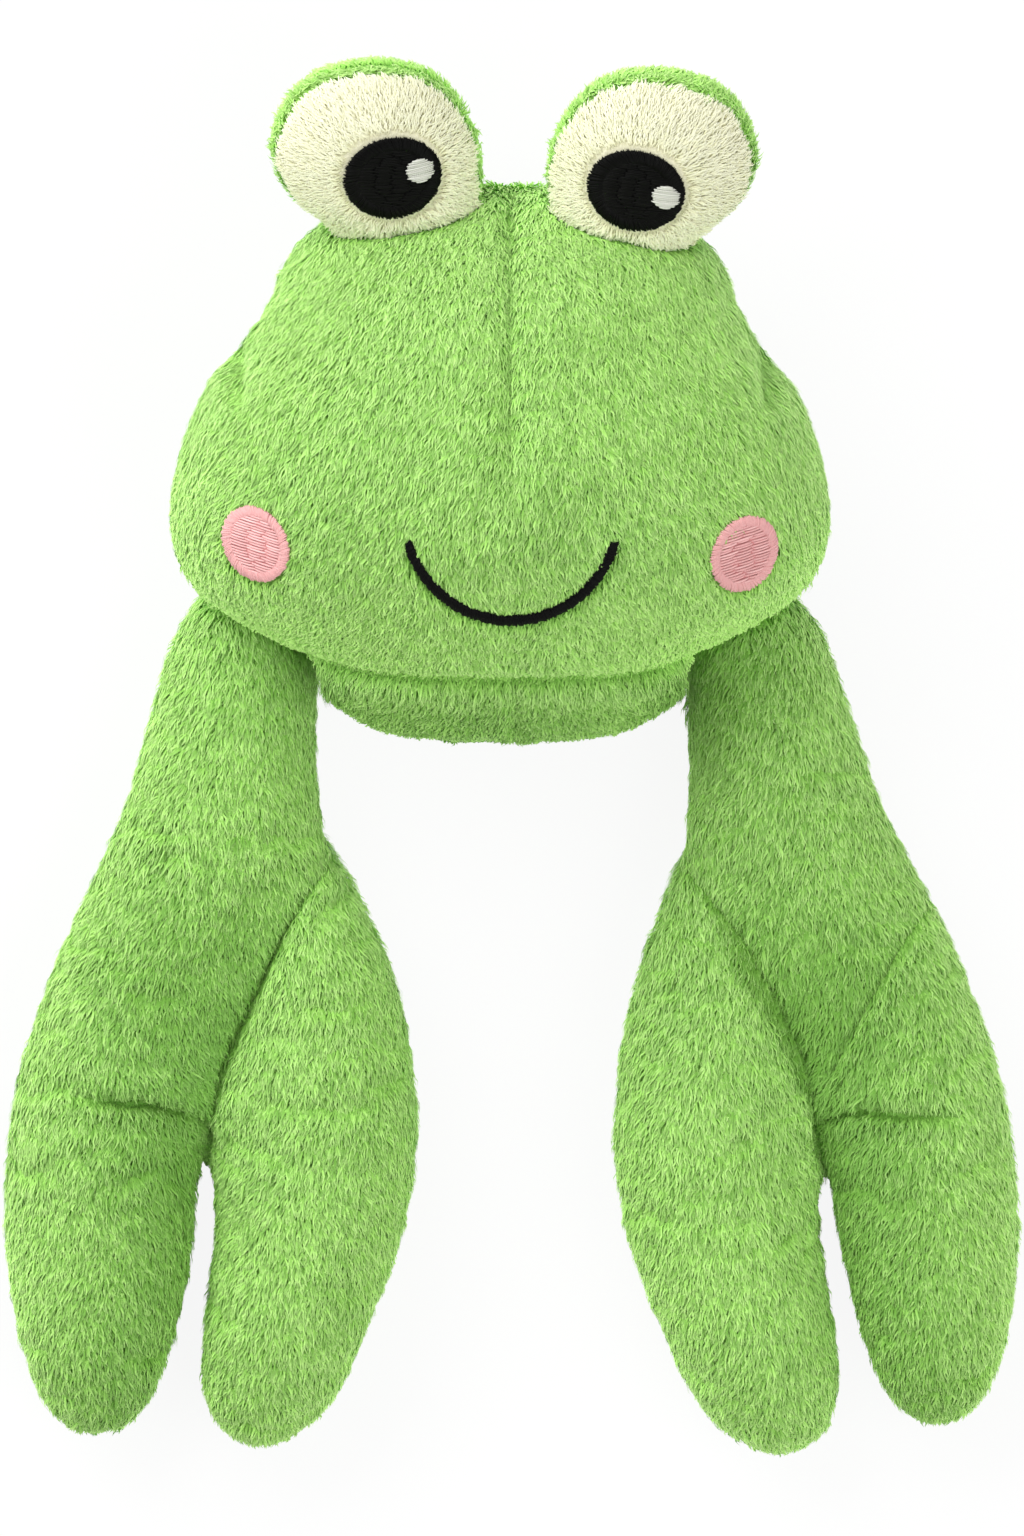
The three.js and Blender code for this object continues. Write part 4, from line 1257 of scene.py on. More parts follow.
@dataclass
class Upholsterer:
    """Sews closed forms and fills them: a cloth simulation blows each up between its seams."""

    voxel: float = 2.6
    slack: float = 0.6
    cap: float = 1.3
    pressure: float = 300.0
    growth: float = 0.02
    frames: int = 20
    floor: float = 0.3
    skin: float = 1.4
    kept_faces: float = 0.31
    held_depth: float = 1.2
    least_hold: float = 0.3

    def sew(self, form: StuffedForm) -> Piece:
        """Makes the slack skin of a form.

        Args:
            form: form to sew.

        Returns:
            A closed mesh of even faces, a little smaller than the form.
        """
        piece = form.closed()
        mesh = even_faces(piece, self.voxel)
        move_corners(mesh, corners_of(mesh) - normals_of(mesh) * self.slack * MM)
        return piece

    def fill(self, sewn: list[tuple[StuffedForm, Piece]]) -> None:
        """Fills all slack skins, in place.

        Args:
            sewn: forms with their slack skins.
        """
        starts = [corners_of(piece.data) for _, piece in sewn]
        ends = self.simulate(sewn)
        for (form, piece), start, end in zip(sewn, starts, ends):
            move = end - start
            size = np.linalg.norm(move, axis=1, keepdims=True)
            move *= np.minimum(1, self.cap * MM / np.maximum(size, 1e-9))
            move_corners(piece.data, start + move)
            smooth = piece.modifiers.new("smooth_faces", "SUBSURF")
            smooth.levels = smooth.render_levels = 1
            mesh = settle(piece).data
            points = corners_of(mesh)
            own = form.local(points)
            points -= normals_of(mesh) * (form.seam_depth(own) - form.swelling(own))[:, None] * MM
            points[:, 2] = np.maximum(points[:, 2], self.floor * MM)
            mesh.shade_smooth()
            move_corners(mesh, points)

    def simulate(self, sewn: list[tuple[StuffedForm, Piece]]) -> list[Array]:
        """Runs the cloth of all skins together.

        Args:
            sewn: forms with their slack skins.

        Returns:
            Corner places of each filled skin.
        """
        scene = bpy.context.scene
        scene.frame_start, scene.frame_end = 1, self.frames
        for form, piece in sewn:
            held = piece.vertex_groups.new(name="sewn")
            pull = form.seam_depth(form.local(corners_of(piece.data)))
            for index, weight in enumerate(np.clip(pull / self.held_depth, 0, 1)):
                if weight > self.least_hold:
                    held.add([index], float(weight), "REPLACE")
            cloth = piece.modifiers.new("filling", "CLOTH")
            cloth.point_cache.frame_start, cloth.point_cache.frame_end = 1, self.frames
            cloth.settings.quality = 4
            cloth.settings.vertex_group_mass = "sewn"
            cloth.settings.use_pressure = True
            cloth.settings.uniform_pressure_force = self.pressure
            cloth.settings.shrink_min = -self.growth
            cloth.settings.effector_weights.gravity = 0
        for step in range(1, self.frames + 1):
            scene.frame_set(step)
        depsgraph = bpy.context.evaluated_depsgraph_get()
        ends = []
        for _, piece in sewn:
            ends.append(corners_of(piece.evaluated_get(depsgraph).data))
            piece.modifiers.clear()
            piece.vertex_groups.clear()
        scene.frame_set(1)
        return ends

    def panels(self, form: StuffedForm, whole: Piece) -> Panels:
        """Parts a filled skin along its seams, and removes it.

        Args:
            form: form of the skin.
            whole: filled skin.

        Returns:
            Open panels by their names, each with the lie and the share of its pile.
        """
        shape = bmesh.new()
        shape.from_mesh(whole.data)
        for point, normal in form.planes():
            everything = shape.verts[:] + shape.edges[:] + shape.faces[:]
            bmesh.ops.bisect_plane(shape, geom=everything, dist=1e-6, plane_co=form.place @ (point * MM),
                                   plane_no=form.place.to_3x3() @ normal)
        centres = np.array([face.calc_center_median() for face in shape.faces])
        names = form.panel(form.local(centres))
        made = {}
        for name in sorted(set(names.tolist())):
            part = shape.copy()
            part.faces.ensure_lookup_table()
            others = [part.faces[i] for i in np.flatnonzero(names != name)]
            bmesh.ops.delete(part, geom=others, context="FACES")
            mesh = bpy.data.meshes.new(f"{form.name}_{name}")
            part.to_mesh(mesh)
            part.free()
            mesh.shade_smooth()
            points, normals = form.local(corners_of(mesh)), form.local_way(normals_of(mesh))
            # the shade mark is painted light on steep sides and painted shade in seams and hollows
            marks = (form.frame_way(form.comb(points, normals)), form.cover(points, normals),
                     form.shade(points, normals), form.trim(points))
            for mark, values in zip(CLOTH_MARKS, marks):
                keep(mesh, mark, values)
            made[name] = linked(mesh.name, mesh)
        shape.free()
        bpy.data.objects.remove(whole)
        return made

    def thicken(self, panel: Piece, material: Material) -> Piece:
        """Gives a panel fewer faces, its thickness, inwards, and its backing.

        Args:
            panel: open panel whose pile is grown.
            material: material of the backing.

        Returns:
            The finished panel.
        """
        drop_marks(panel.data)
        fewer = panel.modifiers.new("fewer_faces", "DECIMATE")
        fewer.ratio = self.kept_faces
        solid = panel.modifiers.new("thickness", "SOLIDIFY")
        solid.thickness = self.skin * MM
        solid.offset = -1
        mesh = settle(panel).data
        points = corners_of(mesh)
        points[:, 2] = np.maximum(points[:, 2], self.floor * MM)
        move_corners(mesh, points)
        dress_in(mesh, material)
        return panel


class PileMaker:
    """Grows plush pile on panels with one Geometry Nodes tree."""

    WAVES = ((1.0, -0.6, 0.6), (-1.0, 0.6, -0.5), (1.3, 1.6, 0.4), (-1.4, -1.5, -0.2), (0.5, -0.9, -2.0),
             (-0.5, 1.0, 2.2), (0.7, 2.0, 1.7), (-0.8, -2.0, -1.6))
    LIFTS = ((0.11, 0.1), (0.08, 0.14))
    TRIANGLES = 4
    HALF_GREY = (0.5, 0.5, 0.5)
    STRAY = 0.08
    LOCK_TURN = 0.2
    MIDDLE_TONE = 0.4
    OWN_TONE = 0.3
    TONE_SWING = 0.12
    EDDIES, PATCHES = 40.0, 42.0
    STANDS, LENGTHS, WIDTHS = (0.55, 1.5), (0.65, 1.15), (0.7, 1.3)
    LOCK_SHORTEST, LOCK_SPREAD = 0.8, 0.4
    DARKEST, PALEST = 0.03, 0.97

    def __init__(self) -> None:
        """Makes the fibres and the tree that sets them."""
        self.fibres = bpy.data.collections.new("pile_fibres")
        for number, wave in enumerate(self.WAVES):
            self.fibres.objects.link(self.fibre(f"pile_fibre_{number}", wave, self.LIFTS[number % 2]))
        self.tree = self.build()

    @staticmethod
    def fibre(name: str, wave: tuple[float, ...], lift: tuple[float, ...]) -> Piece:
        """One wavy lock of fibres of unit length along y and unit width along x.

        Args:
            name: name of the object.
            wave: how far the lock swings aside at a third, at two thirds and at its tip, in widths.
            lift: how far it stands out at a third and at two thirds, in lengths.

        Returns:
            The object, not linked to the scene.
        """
        mesh = bpy.data.meshes.new(name)
        rows = ((wave[0], 0.5, 0.3, lift[0]), (wave[1], 0.45, 0.68, lift[1]))
        sides = [(x, y, z) for middle, half, y, z in rows for x in (middle - half, middle + half)]
        points = [(0.0, 0.0, 0.0), *sides, (wave[2], 1.0, 0.02)]
        mesh.from_pydata(points, [], [(0, 2, 1), (1, 2, 4, 3), (3, 4, 5)])
        keep(mesh, "reach", np.array([y for _, y, _ in points]))
        return bpy.data.objects.new(name, mesh)

    def build(self) -> bpy.types.NodeTree:
        """The tree: points on the cloth, a combed and gathered direction for each, and a fibre on it."""
        tree = Tree("PlushPile")
        density, length, width = (tree.inlet(n) for n in ("Density", "Length", "Width"))
        lean, clump, gather, swirl = (tree.inlet(n) for n in ("Lean", "Clump", "Gather", "Swirl"))
        margin, floor = (tree.inlet(n) for n in ("Bare Margin", "Floor"))
        seed, bare = tree.inlet("Seed", "Int"), tree.inlet("Bare Place", "Object")
        fibres, material = tree.inlet("Fibres", "Collection"), tree.inlet("Material", "Material")

        grown_share = tree.math("MULTIPLY", density, tree.attribute("cover"))
        spread = tree.add("GeometryNodeDistributePointsOnFaces",
                          {"Mesh": tree.start.outputs["Geometry"], "Density": grown_share, "Seed": seed})
        normal = spread.outputs["Normal"]
        place = tree.add("GeometryNodeInputPosition").outputs[0]
        near = tree.add("GeometryNodeProximity", {0: tree.shape_of(bare)}, target_element="FACES")
        close = tree.math("LESS_THAN", near.outputs["Distance"], margin)
        dropped = tree.math("MULTIPLY", close, near.outputs["Is Valid"])
        points = tree.add("GeometryNodeDeleteGeometry", {
            "Geometry": spread.outputs["Points"], "Selection": dropped}, domain="POINT").outputs[0]

        eddies = tree.clouds(place, self.EDDIES, 1.0).outputs["Color"]
        turned = tree.scaled(tree.vector("SUBTRACT", eddies, self.HALF_GREY), swirl)
        flow = tree.vector("ADD", tree.vector("NORMALIZE", tree.attribute("comb", "FLOAT_VECTOR")), turned)
        tangent = tree.vector("NORMALIZE", tree.level(flow, normal))
        cells = tree.add("ShaderNodeTexVoronoi", {"Vector": place, "Scale": tree.math("DIVIDE", 1.0, clump)})
        shade = tree.add("ShaderNodeSeparateXYZ", {0: cells.outputs["Color"]})
        pull = tree.level(tree.vector("SUBTRACT", cells.outputs["Position"], place), normal)
        drawn = tree.scaled(pull, tree.math("DIVIDE", gather, length))
        stand = tree.math("MULTIPLY", lean, tree.random(*self.STANDS, 3))
        upward = tree.vector("ADD", tangent, tree.scaled(normal, stand))
        stray = tree.triple(*(tree.random(-self.STRAY, self.STRAY, 11 + i) for i in range(3)))
        lock = tree.scaled(tree.vector("SUBTRACT", cells.outputs["Color"], self.HALF_GREY), self.LOCK_TURN)
        aside = tree.level(tree.vector("ADD", stray, lock), normal)
        way = tree.vector("ADD", tree.vector("ADD", upward, drawn), aside)

        longer = tree.math("MULTIPLY", self.LOCK_SPREAD, shade.outputs["Y"])
        uneven = tree.math("ADD", self.LOCK_SHORTEST, longer)
        long = tree.math("MULTIPLY", tree.math("MULTIPLY", length, tree.random(*self.LENGTHS, 5)), uneven)
        long = tree.math("MULTIPLY", long, tree.attribute("trim"))
        wide = tree.math("MULTIPLY", width, tree.random(*self.WIDTHS, 6))
        lock_tone = tree.math("MULTIPLY", tree.math("SUBTRACT", shade.outputs["X"], 0.5), self.TONE_SWING)
        patches = tree.clouds(place, self.PATCHES, 2.0).outputs["Fac"]
        patch_tone = tree.math("MULTIPLY", tree.math("SUBTRACT", patches, 0.5), self.TONE_SWING)
        # The shade mark adds painted light and painted shade to the random tone of each fibre.
        even = tree.math("ADD", tree.math("ADD", lock_tone, patch_tone), tree.attribute("shade"))
        own_tone = tree.random(-self.OWN_TONE, self.OWN_TONE, 7)
        tone = tree.math("ADD", tree.math("ADD", even, self.MIDDLE_TONE), own_tone)
        held_tone = tree.add("ShaderNodeClamp", {
            "Value": tone, "Min": self.DARKEST, "Max": self.PALEST}).outputs[0]
        points = tree.store(points, "tone", "FLOAT", "POINT", held_tone)

        source = tree.add("GeometryNodeCollectionInfo", {
            "Collection": fibres, "Separate Children": True, "Reset Children": True}).outputs[0]
        real = tree.laid(points, source, tree.turned(way, normal), tree.triple(wide, long, long), True)
        parts = tree.add("ShaderNodeSeparateXYZ", {0: place}).outputs
        held = tree.triple(parts[0], parts[1], tree.math("MAXIMUM", parts[2], floor))
        real = tree.add("GeometryNodeSetPosition", {"Geometry": real, "Position": held}).outputs[0]
        return tree.finish(real, material)


@dataclass
class Pile:
    """Cut of a plush pile."""

    material: Material
    length: float = 4.8
    width: float = 0.46
    lean: float = 0.11
    clump: float = 1.9
    gather: float = 0.22
    swirl: float = 1.0
    margin: float = 0.8
    floor: float = 0.1

    def inputs(self, maker: PileMaker, density: float, seed: int, bare: Piece | None) -> dict[str, object]:
        """Values for the pile tree's inputs, with so many fibres on a square millimetre."""
        return {"Density": density / MM ** 2, "Length": self.length * MM, "Width": self.width * MM,
                "Lean": self.lean, "Clump": self.clump * MM, "Gather": self.gather, "Swirl": self.swirl,
                "Bare Margin": self.margin * MM, "Floor": self.floor * MM, "Seed": seed, "Bare Place": bare,
                "Fibres": maker.fibres, "Material": self.material}


class Ground:
    """Skin under an embroidery, reached along the z axis of a form."""

    def __init__(self, panel: Piece, place: Matrix) -> None:
        """Keeps the skin for searching.

        Args:
            panel: skin that is sewn on.
            place: where the embroidery's own axes stand in the frame.
        """
        self.place = place
        self.down = -(place.to_3x3() @ UP).normalized()
        self.tree = BVHTree.FromPolygons([v.co for v in panel.data.vertices],
                                         [p.vertices for p in panel.data.polygons])

    def at(self, x: float, y: float, height: float) -> tuple[Vector, Vector]:
        """The point so high over the skin at a place of the plan, and the skin's normal there."""
        hit, normal, _, _ = self.tree.ray_cast(self.place @ Vector((x * MM, y * MM, 0.2)), self.down)
        return hit + normal * height * MM, normal


class Stitcher:
    """Sews stitches with one Geometry Nodes tree that lays a thread on each."""

    def __init__(self) -> None:
        """Makes the thread and the tree that lays it."""
        self.thread = self.strand()
        self.tree = self.build()

    @staticmethod
    def strand() -> Piece:
        """One stitch of unit length along y: a rounded thread that dips into the cloth at both ends."""
        half = ((0.5, 0.35, -0.6), (0.42, 0.85, 0.15), (0.15, 1.0, 0.5))
        stations = [(-y, wide, lift) for y, wide, lift in half] + list(half[::-1])
        turns = np.radians([-20, 35, 90, 145, 200])
        points = [(0.5 * wide * math.cos(t), y, lift + 0.5 * wide * math.sin(t) - 0.5)
                  for y, wide, lift in stations for t in turns]
        faces = [(i * 5 + k, i * 5 + k + 1, i * 5 + k + 6, i * 5 + k + 5) for i in range(5) for k in range(4)]
        mesh = bpy.data.meshes.new("thread_stitch")
        mesh.from_pydata(points, [], [face[::-1] for face in faces])
        keep(mesh, "reach", np.repeat([y + 0.5 for y, _, _ in stations], 5))
        return bpy.data.objects.new("thread_stitch", mesh)

    @staticmethod
    def build() -> bpy.types.NodeTree:
        """The tree: a thread on each point, turned and stretched by the point's own attributes."""
        tree = Tree("Stitches")
        wide, high = tree.inlet("Thread Width"), tree.inlet("Thread Height")
        seed, thread = tree.inlet("Seed", "Int"), tree.inlet("Thread", "Object")
        base, material = tree.inlet("Base", "Object"), tree.inlet("Material", "Material")
        points = tree.add("GeometryNodeMeshToPoints", {"Mesh": tree.start.outputs["Geometry"]}).outputs[0]
        tone = tree.math("MULTIPLY", tree.attribute("tint"), tree.random(0.5, 0.97, seed))
        points = tree.store(points, "tone", "FLOAT", "POINT", tone)
        turn = tree.turned(tree.attribute("along", "FLOAT_VECTOR"), tree.attribute("up", "FLOAT_VECTOR"))
        size = tree.triple(wide, tree.attribute("span"), high)
        joined = tree.add("GeometryNodeJoinGeometry")
        for shape in (tree.laid(points, tree.shape_of(thread), turn, size), tree.shape_of(base)):
            tree.links.new(shape, joined.inputs[0])
        return tree.finish(joined.outputs[0], material)


@dataclass
class Embroidery:
    """One embroidered piece: a base that follows the skin, and stitches over it."""

    name: str
    ground: Ground
    thread: Thread
    width: float = 0.55
    lift: float = 0.9
    seed: int = 1
    ragged: float = 0.35
    longest: float = 4.5
    border_tint: float = 0.55
    stitches: list[tuple[Vector, Vector, Vector, float, float]] = field(default_factory=list)
    base: Piece | None = None

    RAGGED_RUN, LOOSE = (-0.3, 1), 0.15
    ROW_DRIFT, CUT_DRIFT, BORDER_DRIFT = 0.1, 0.8, 0.3
    BORDER_SKEW, BORDER_LAP, BORDER_RAISE = 0.05, 0.06, 0.1
    BASE_SIDE, BASE_SHARE, BASE_SINK = 13, 0.97, 0.25

    def __post_init__(self) -> None:
        """Starts the seeded choice of ragged ends."""
        self.chance = np.random.default_rng(self.seed)

    def lay(self, start: Array, stop: Array, raised: float = 0.0, tint: float = 1.0) -> None:
        """Lays one stitch between two places of the plan, with ragged ends.

        Args:
            start: first end.
            stop: second end.
            raised: how far over the other stitches.
            tint: how pale its thread is.
        """
        way = (stop - start) / np.linalg.norm(stop - start)
        start = start - way * self.chance.uniform(*self.RAGGED_RUN) * self.ragged
        stop = stop + way * self.chance.uniform(*self.RAGGED_RUN) * self.ragged
        height = self.lift + raised + self.chance.uniform(0, self.LOOSE)
        one, up_one = self.ground.at(*start, height)
        other, up_other = self.ground.at(*stop, height)
        middle, up_middle = self.ground.at(*((start + stop) / 2), height)
        self.stitches.append(((one + other) / 4 + middle / 2, other - one, up_one + up_other + up_middle,
                              (other - one).length, tint))

    def lay_base(self, plan: Array, low: float, high: float) -> None:
        """Makes the base that follows the skin.

        Args:
            plan: grid of places.
            low: height of its underside over the skin.
            high: height of its top.
        """
        rows, columns = plan.shape[:2]
        count = rows * columns
        places = plan.reshape(-1, 2)
        points = [self.ground.at(*place, height)[0] / MM for height in (high, low) for place in places]
        faces: Faces = []
        for i in range(rows - 1):
            for k in range(columns - 1):
                a = i * columns + k
                quad = (a, a + 1, a + columns + 1, a + columns)
                faces += [quad, tuple(c + count for c in reversed(quad))]
        rim = [*range(columns - 1), *range(columns - 1, count - 1, columns),
               *range(count - 1, count - columns, -1), *range(count - columns, 0, -columns)]
        for one, other in zip(rim, rim[1:] + rim[:1]):
            faces.append((one, one + count, other + count, other))
        self.base = mesh_object(f"{self.name}_base", np.array(points), faces)
        shape = bmesh.new()
        shape.from_mesh(self.base.data)
        bmesh.ops.recalc_face_normals(shape, faces=shape.faces)
        shape.to_mesh(self.base.data)
        shape.free()

    def spot(self, centre: Array, half: Pair, border: float, pitch: float, radial: int,
             tilt: float = 0.0, row_tilt: float = 0.0, raised: float = 0.0) -> None:
        """Sews a filled oval: rows of stitches inside a border of radial ones.

        Args:
            centre: middle of the oval.
            half: its half length and half width.
            border: share of the oval that the rows fill.
            pitch: distance of the rows.
            radial: number of stitches in the border.
            tilt: angle of its length, in degrees.
            row_tilt: angle of the rows, in degrees.
            raised: how far the oval lies over the usual height.
        """
        half = np.array(half)
        turn = np.radians(tilt)
        axes = np.array([[np.cos(turn), np.sin(turn)], [-np.sin(turn), np.cos(turn)]])
        square = np.linspace(-self.BASE_SHARE, self.BASE_SHARE, self.BASE_SIDE)
        u, v = np.meshgrid(square, square)
        disc = np.stack([u * np.sqrt(1 - v ** 2 / 2), v * np.sqrt(1 - u ** 2 / 2)], axis=2)
        self.lay_base(centre + (disc * half) @ axes, 0.1, self.lift + raised - self.BASE_SINK)
        lean = np.radians(row_tilt)
        way, aside = np.array([np.cos(lean), np.sin(lean)]), np.array([-np.sin(lean), np.cos(lean)])
        shape = axes.T @ np.diag(1 / (half * border) ** 2) @ axes
        top = 1 / np.sqrt(aside @ shape @ aside - (aside @ shape @ way) ** 2 / (way @ shape @ way))
        for offset in np.arange(-top + pitch * 0.6, top, pitch):
            shift = aside * (offset + self.chance.uniform(-self.ROW_DRIFT, self.ROW_DRIFT) * pitch)
            a, b, c = way @ shape @ way, 2 * (way @ shape @ shift), shift @ shape @ shift - 1
            room = b * b - 4 * a * c
            if room <= 0:
                continue
            ends = [(-b - np.sqrt(room)) / (2 * a), (-b + np.sqrt(room)) / (2 * a)]
            steps = max(1, round((ends[1] - ends[0]) / self.longest))
            cuts = np.linspace(ends[0], ends[1], steps + 1)
            cuts[1:-1] += self.chance.uniform(-self.CUT_DRIFT, self.CUT_DRIFT, steps - 1)
            for first, last in zip(cuts, cuts[1:]):
                self.lay(centre + shift + way * first, centre + shift + way * last, raised)
        for angle in np.linspace(0, 2 * np.pi, radial, endpoint=False):
            angle += self.chance.uniform(-self.BORDER_DRIFT, self.BORDER_DRIFT) * 2 * np.pi / radial
            rim = np.array([np.cos(angle), np.sin(angle)]) * half
            skew = np.array([-np.sin(angle), np.cos(angle)]) * half * self.BORDER_SKEW
            root, tip = (rim * (border - self.BORDER_LAP) - skew) @ axes, (rim + skew) @ axes
            self.lay(centre + root, centre + tip, raised + self.BORDER_RAISE, self.border_tint)

    def sew(self, shop: "Workshop") -> Piece:
        """Lays the threads.

        Args:
            shop: shared makers and threads.

        Returns:
            The finished piece, which rides the head.
        """
        mesh = bpy.data.meshes.new(f"{self.name}_points")
        mesh.from_pydata([s[0] for s in self.stitches], [], [])
        for number, mark in enumerate(STITCH_MARKS, 1):
            keep(mesh, mark, np.array([stitch[number] for stitch in self.stitches]))
        start = bpy.data.objects.new(f"{self.name}_points", mesh)
        piece = grown(shop.stitcher.tree, start, f"{self.name}_stitches", {
            "Thread Width": self.width * MM, "Thread Height": self.width * MM, "Seed": self.seed,
            "Thread": shop.stitcher.thread, "Base": self.base, "Material": shop.threads[self.thread]})
        piece.data.shade_smooth()
        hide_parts(f"{self.name}_embroidery")
        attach(piece, "head")
        return piece


@dataclass
class PanelPlan:
    """What a panel stands for, its cloth and how it moves."""

    nodes: tuple[str, ...]
    bodies: tuple[str, ...]
    fabric: Fabric = Fabric.GREEN
    bend: tuple[Vector, Vector] | None = None
    density: float = 4.0
    cut: dict[str, float] = field(default_factory=dict)

    def attach(self, piece: Piece) -> None:
        """Makes a piece ride its body, or bend between its two bodies."""
        if self.bend:
            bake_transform(piece, *self.bodies, *self.bend)
        else:
            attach(piece, self.bodies[0])


class Workshop:
    """Makers, cloths and threads that the whole toy shares."""

    LAYER_LIMIT = 185_000
    FILLING_FACE = 4
    FILLING_INSET = 3.8
    FILLING_LUMPS = 0.6
    FILLING_WAVES = ((0.31, 0.47, 0.22), (-0.43, 0.25, 0.39))

    def __init__(self) -> None:
        """Makes every finish and maker once."""
        self.upholsterer = Upholsterer()
        self.pile_maker = PileMaker()
        self.stitcher = Stitcher()
        green = PileFinish("green_pile", root=(0.21, 0.52, 0.06), middle=(0.31, 0.64, 0.11),
                           tip=(0.45, 0.8, 0.22), spread=0.44, depth=(1.3, 1.0, 1.6))
        cream = PileFinish("cream_pile", root=(0.83, 0.8, 0.52), middle=(0.9, 0.89, 0.63),
                           tip=(0.93, 0.93, 0.75), spread=0.09)
        self.piles = {Fabric.GREEN: Pile(green.material()),
                      Fabric.CREAM: Pile(cream.material(), length=3.8, width=0.36, swirl=0.8)}
        self.backings = {fabric: finish.material() for fabric, finish in (
            (Fabric.GREEN, BackingFinish("green_backing", (0.2, 0.5, 0.06), (0.28, 0.6, 0.1))),
            (Fabric.CREAM, BackingFinish("cream_backing", (0.7, 0.68, 0.46), (0.85, 0.83, 0.6))))}
        self.threads = {thread: finish.material() for thread, finish in (
            (Thread.BLACK, ThreadFinish("black_thread", (0.001, 0.001, 0.001), (0.004, 0.004, 0.0036), 0.08)),
            (Thread.WHITE, ThreadFinish("white_thread", (0.46, 0.46, 0.4), (0.72, 0.72, 0.66))),
            (Thread.PINK, ThreadFinish("pink_thread", (0.66, 0.27, 0.265), (0.95, 0.585, 0.57))))}
        self.fibre = FibreFinish().material()
        self.seed = 0

    def dress(self, name: str, panel: Piece, plan: PanelPlan, bare: Piece | None = None) -> None:
        """Grows the pile of a panel and gives the panel its thickness.

        Args:
            name: name for the pieces.
            panel: open panel.
            plan: what it stands for and how it moves.
            bare: what keeps the cloth bare around it, if anything.
        """
        panel.name = f"{name}_plush"
        area = sum(face.area for face in panel.data.polygons) / MM ** 2
        layers = max(1, math.ceil(area * plan.density * PileMaker.TRIANGLES / self.LAYER_LIMIT))
        pile = replace(self.piles[plan.fabric], **plan.cut)
        for layer in range(layers):
            self.seed += 1
            values = pile.inputs(self.pile_maker, plan.density / layers, self.seed, bare)
            piece = grown(self.pile_maker.tree, panel, f"{name}_pile_{layer + 1}", values)
            plan.attach(piece)
            log.info("%s: %d faces of pile", piece.name, len(piece.data.polygons))
        self.upholsterer.thicken(panel, self.backings[plan.fabric])
        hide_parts(*plan.nodes)
        plan.attach(panel)
        log.info("%s: %.0f square millimetres, %d faces", panel.name, area, len(panel.data.polygons))

    def stuff(self, node: str, body: str) -> None:
        """Makes the loose filling inside one stuffed form.

        Args:
            node: CAD node of the filling.
            body: body that it rides.
        """
        mesh = frame["nodes"][node].data.copy()
        shape = bmesh.new()
        shape.from_mesh(mesh)
        bmesh.ops.remove_doubles(shape, verts=shape.verts, dist=1e-6)
        shape.to_mesh(mesh)
        shape.free()
        piece = linked(f"{node}_fibre", mesh)
        mesh = even_faces(piece, self.FILLING_FACE)
        points = corners_of(mesh) / MM
        lumps = sum(np.sin(points @ np.array(wave)) for wave in self.FILLING_WAVES)
        points -= normals_of(mesh) * (self.FILLING_INSET + self.FILLING_LUMPS * lumps)[:, None]
        mesh.shade_smooth()
        move_corners(mesh, points * MM)
        dress_in(mesh, self.fibre)
        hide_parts(node)
        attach(piece, body)
        log.info("%s: %d faces", piece.name, len(mesh.polygons))


@dataclass
class EyePad:
    """Padded eye on the crown: cream front, green back, pupil and glint."""

    side: Side
    form: PadForm
    glint_aside: float
    glint_up: float
    pupil_half: Pair = (12.0, 10.75)
    glint_half: Pair = (3.3, 3.1)

    BACK_CUT = {"length": 3.4, "lean": 0.3}

    def dress(self, shop: Workshop, panels: Panels) -> None:
        """Embroiders the front and grows the pile of both panels.

        Args:
            shop: shared makers.
            panels: front and back of the pad.
        """
        word = self.side.word
        ground = Ground(panels["front"], self.form.place)
        middle = np.array(self.form.pupil)
        pupil = Embroidery(f"{word}_pupil", ground, Thread.BLACK, width=0.5, lift=1.1, seed=5)
        pupil.spot(middle, self.pupil_half, border=0.74, pitch=0.42, radial=170, row_tilt=4 * self.side.value)
        pupil.sew(shop)
        glint = Embroidery(f"{word}_glint", ground, Thread.WHITE, width=0.5, lift=1.1, seed=6, ragged=0.5)
        glint.spot(middle + (self.glint_aside, self.glint_up), self.glint_half, border=1.0, pitch=0.46,
                   radial=0, raised=0.55)
        glint.sew(shop)
        front = PanelPlan((f"{word}_eye_front_panel",), ("head",), Fabric.CREAM, density=3.8)
        back = PanelPlan((f"{word}_eye_back_panel",), ("head",), density=4.6, cut=self.BACK_CUT)
        shop.dress(f"{word}_eye_front", panels["front"], front, pupil.base)
        shop.dress(f"{word}_eye_back", panels["back"], back)
        for patch in (pupil, glint):
            bpy.data.objects.remove(patch.base)
        shop.stuff(f"{word}_eye_stuffing", "head")


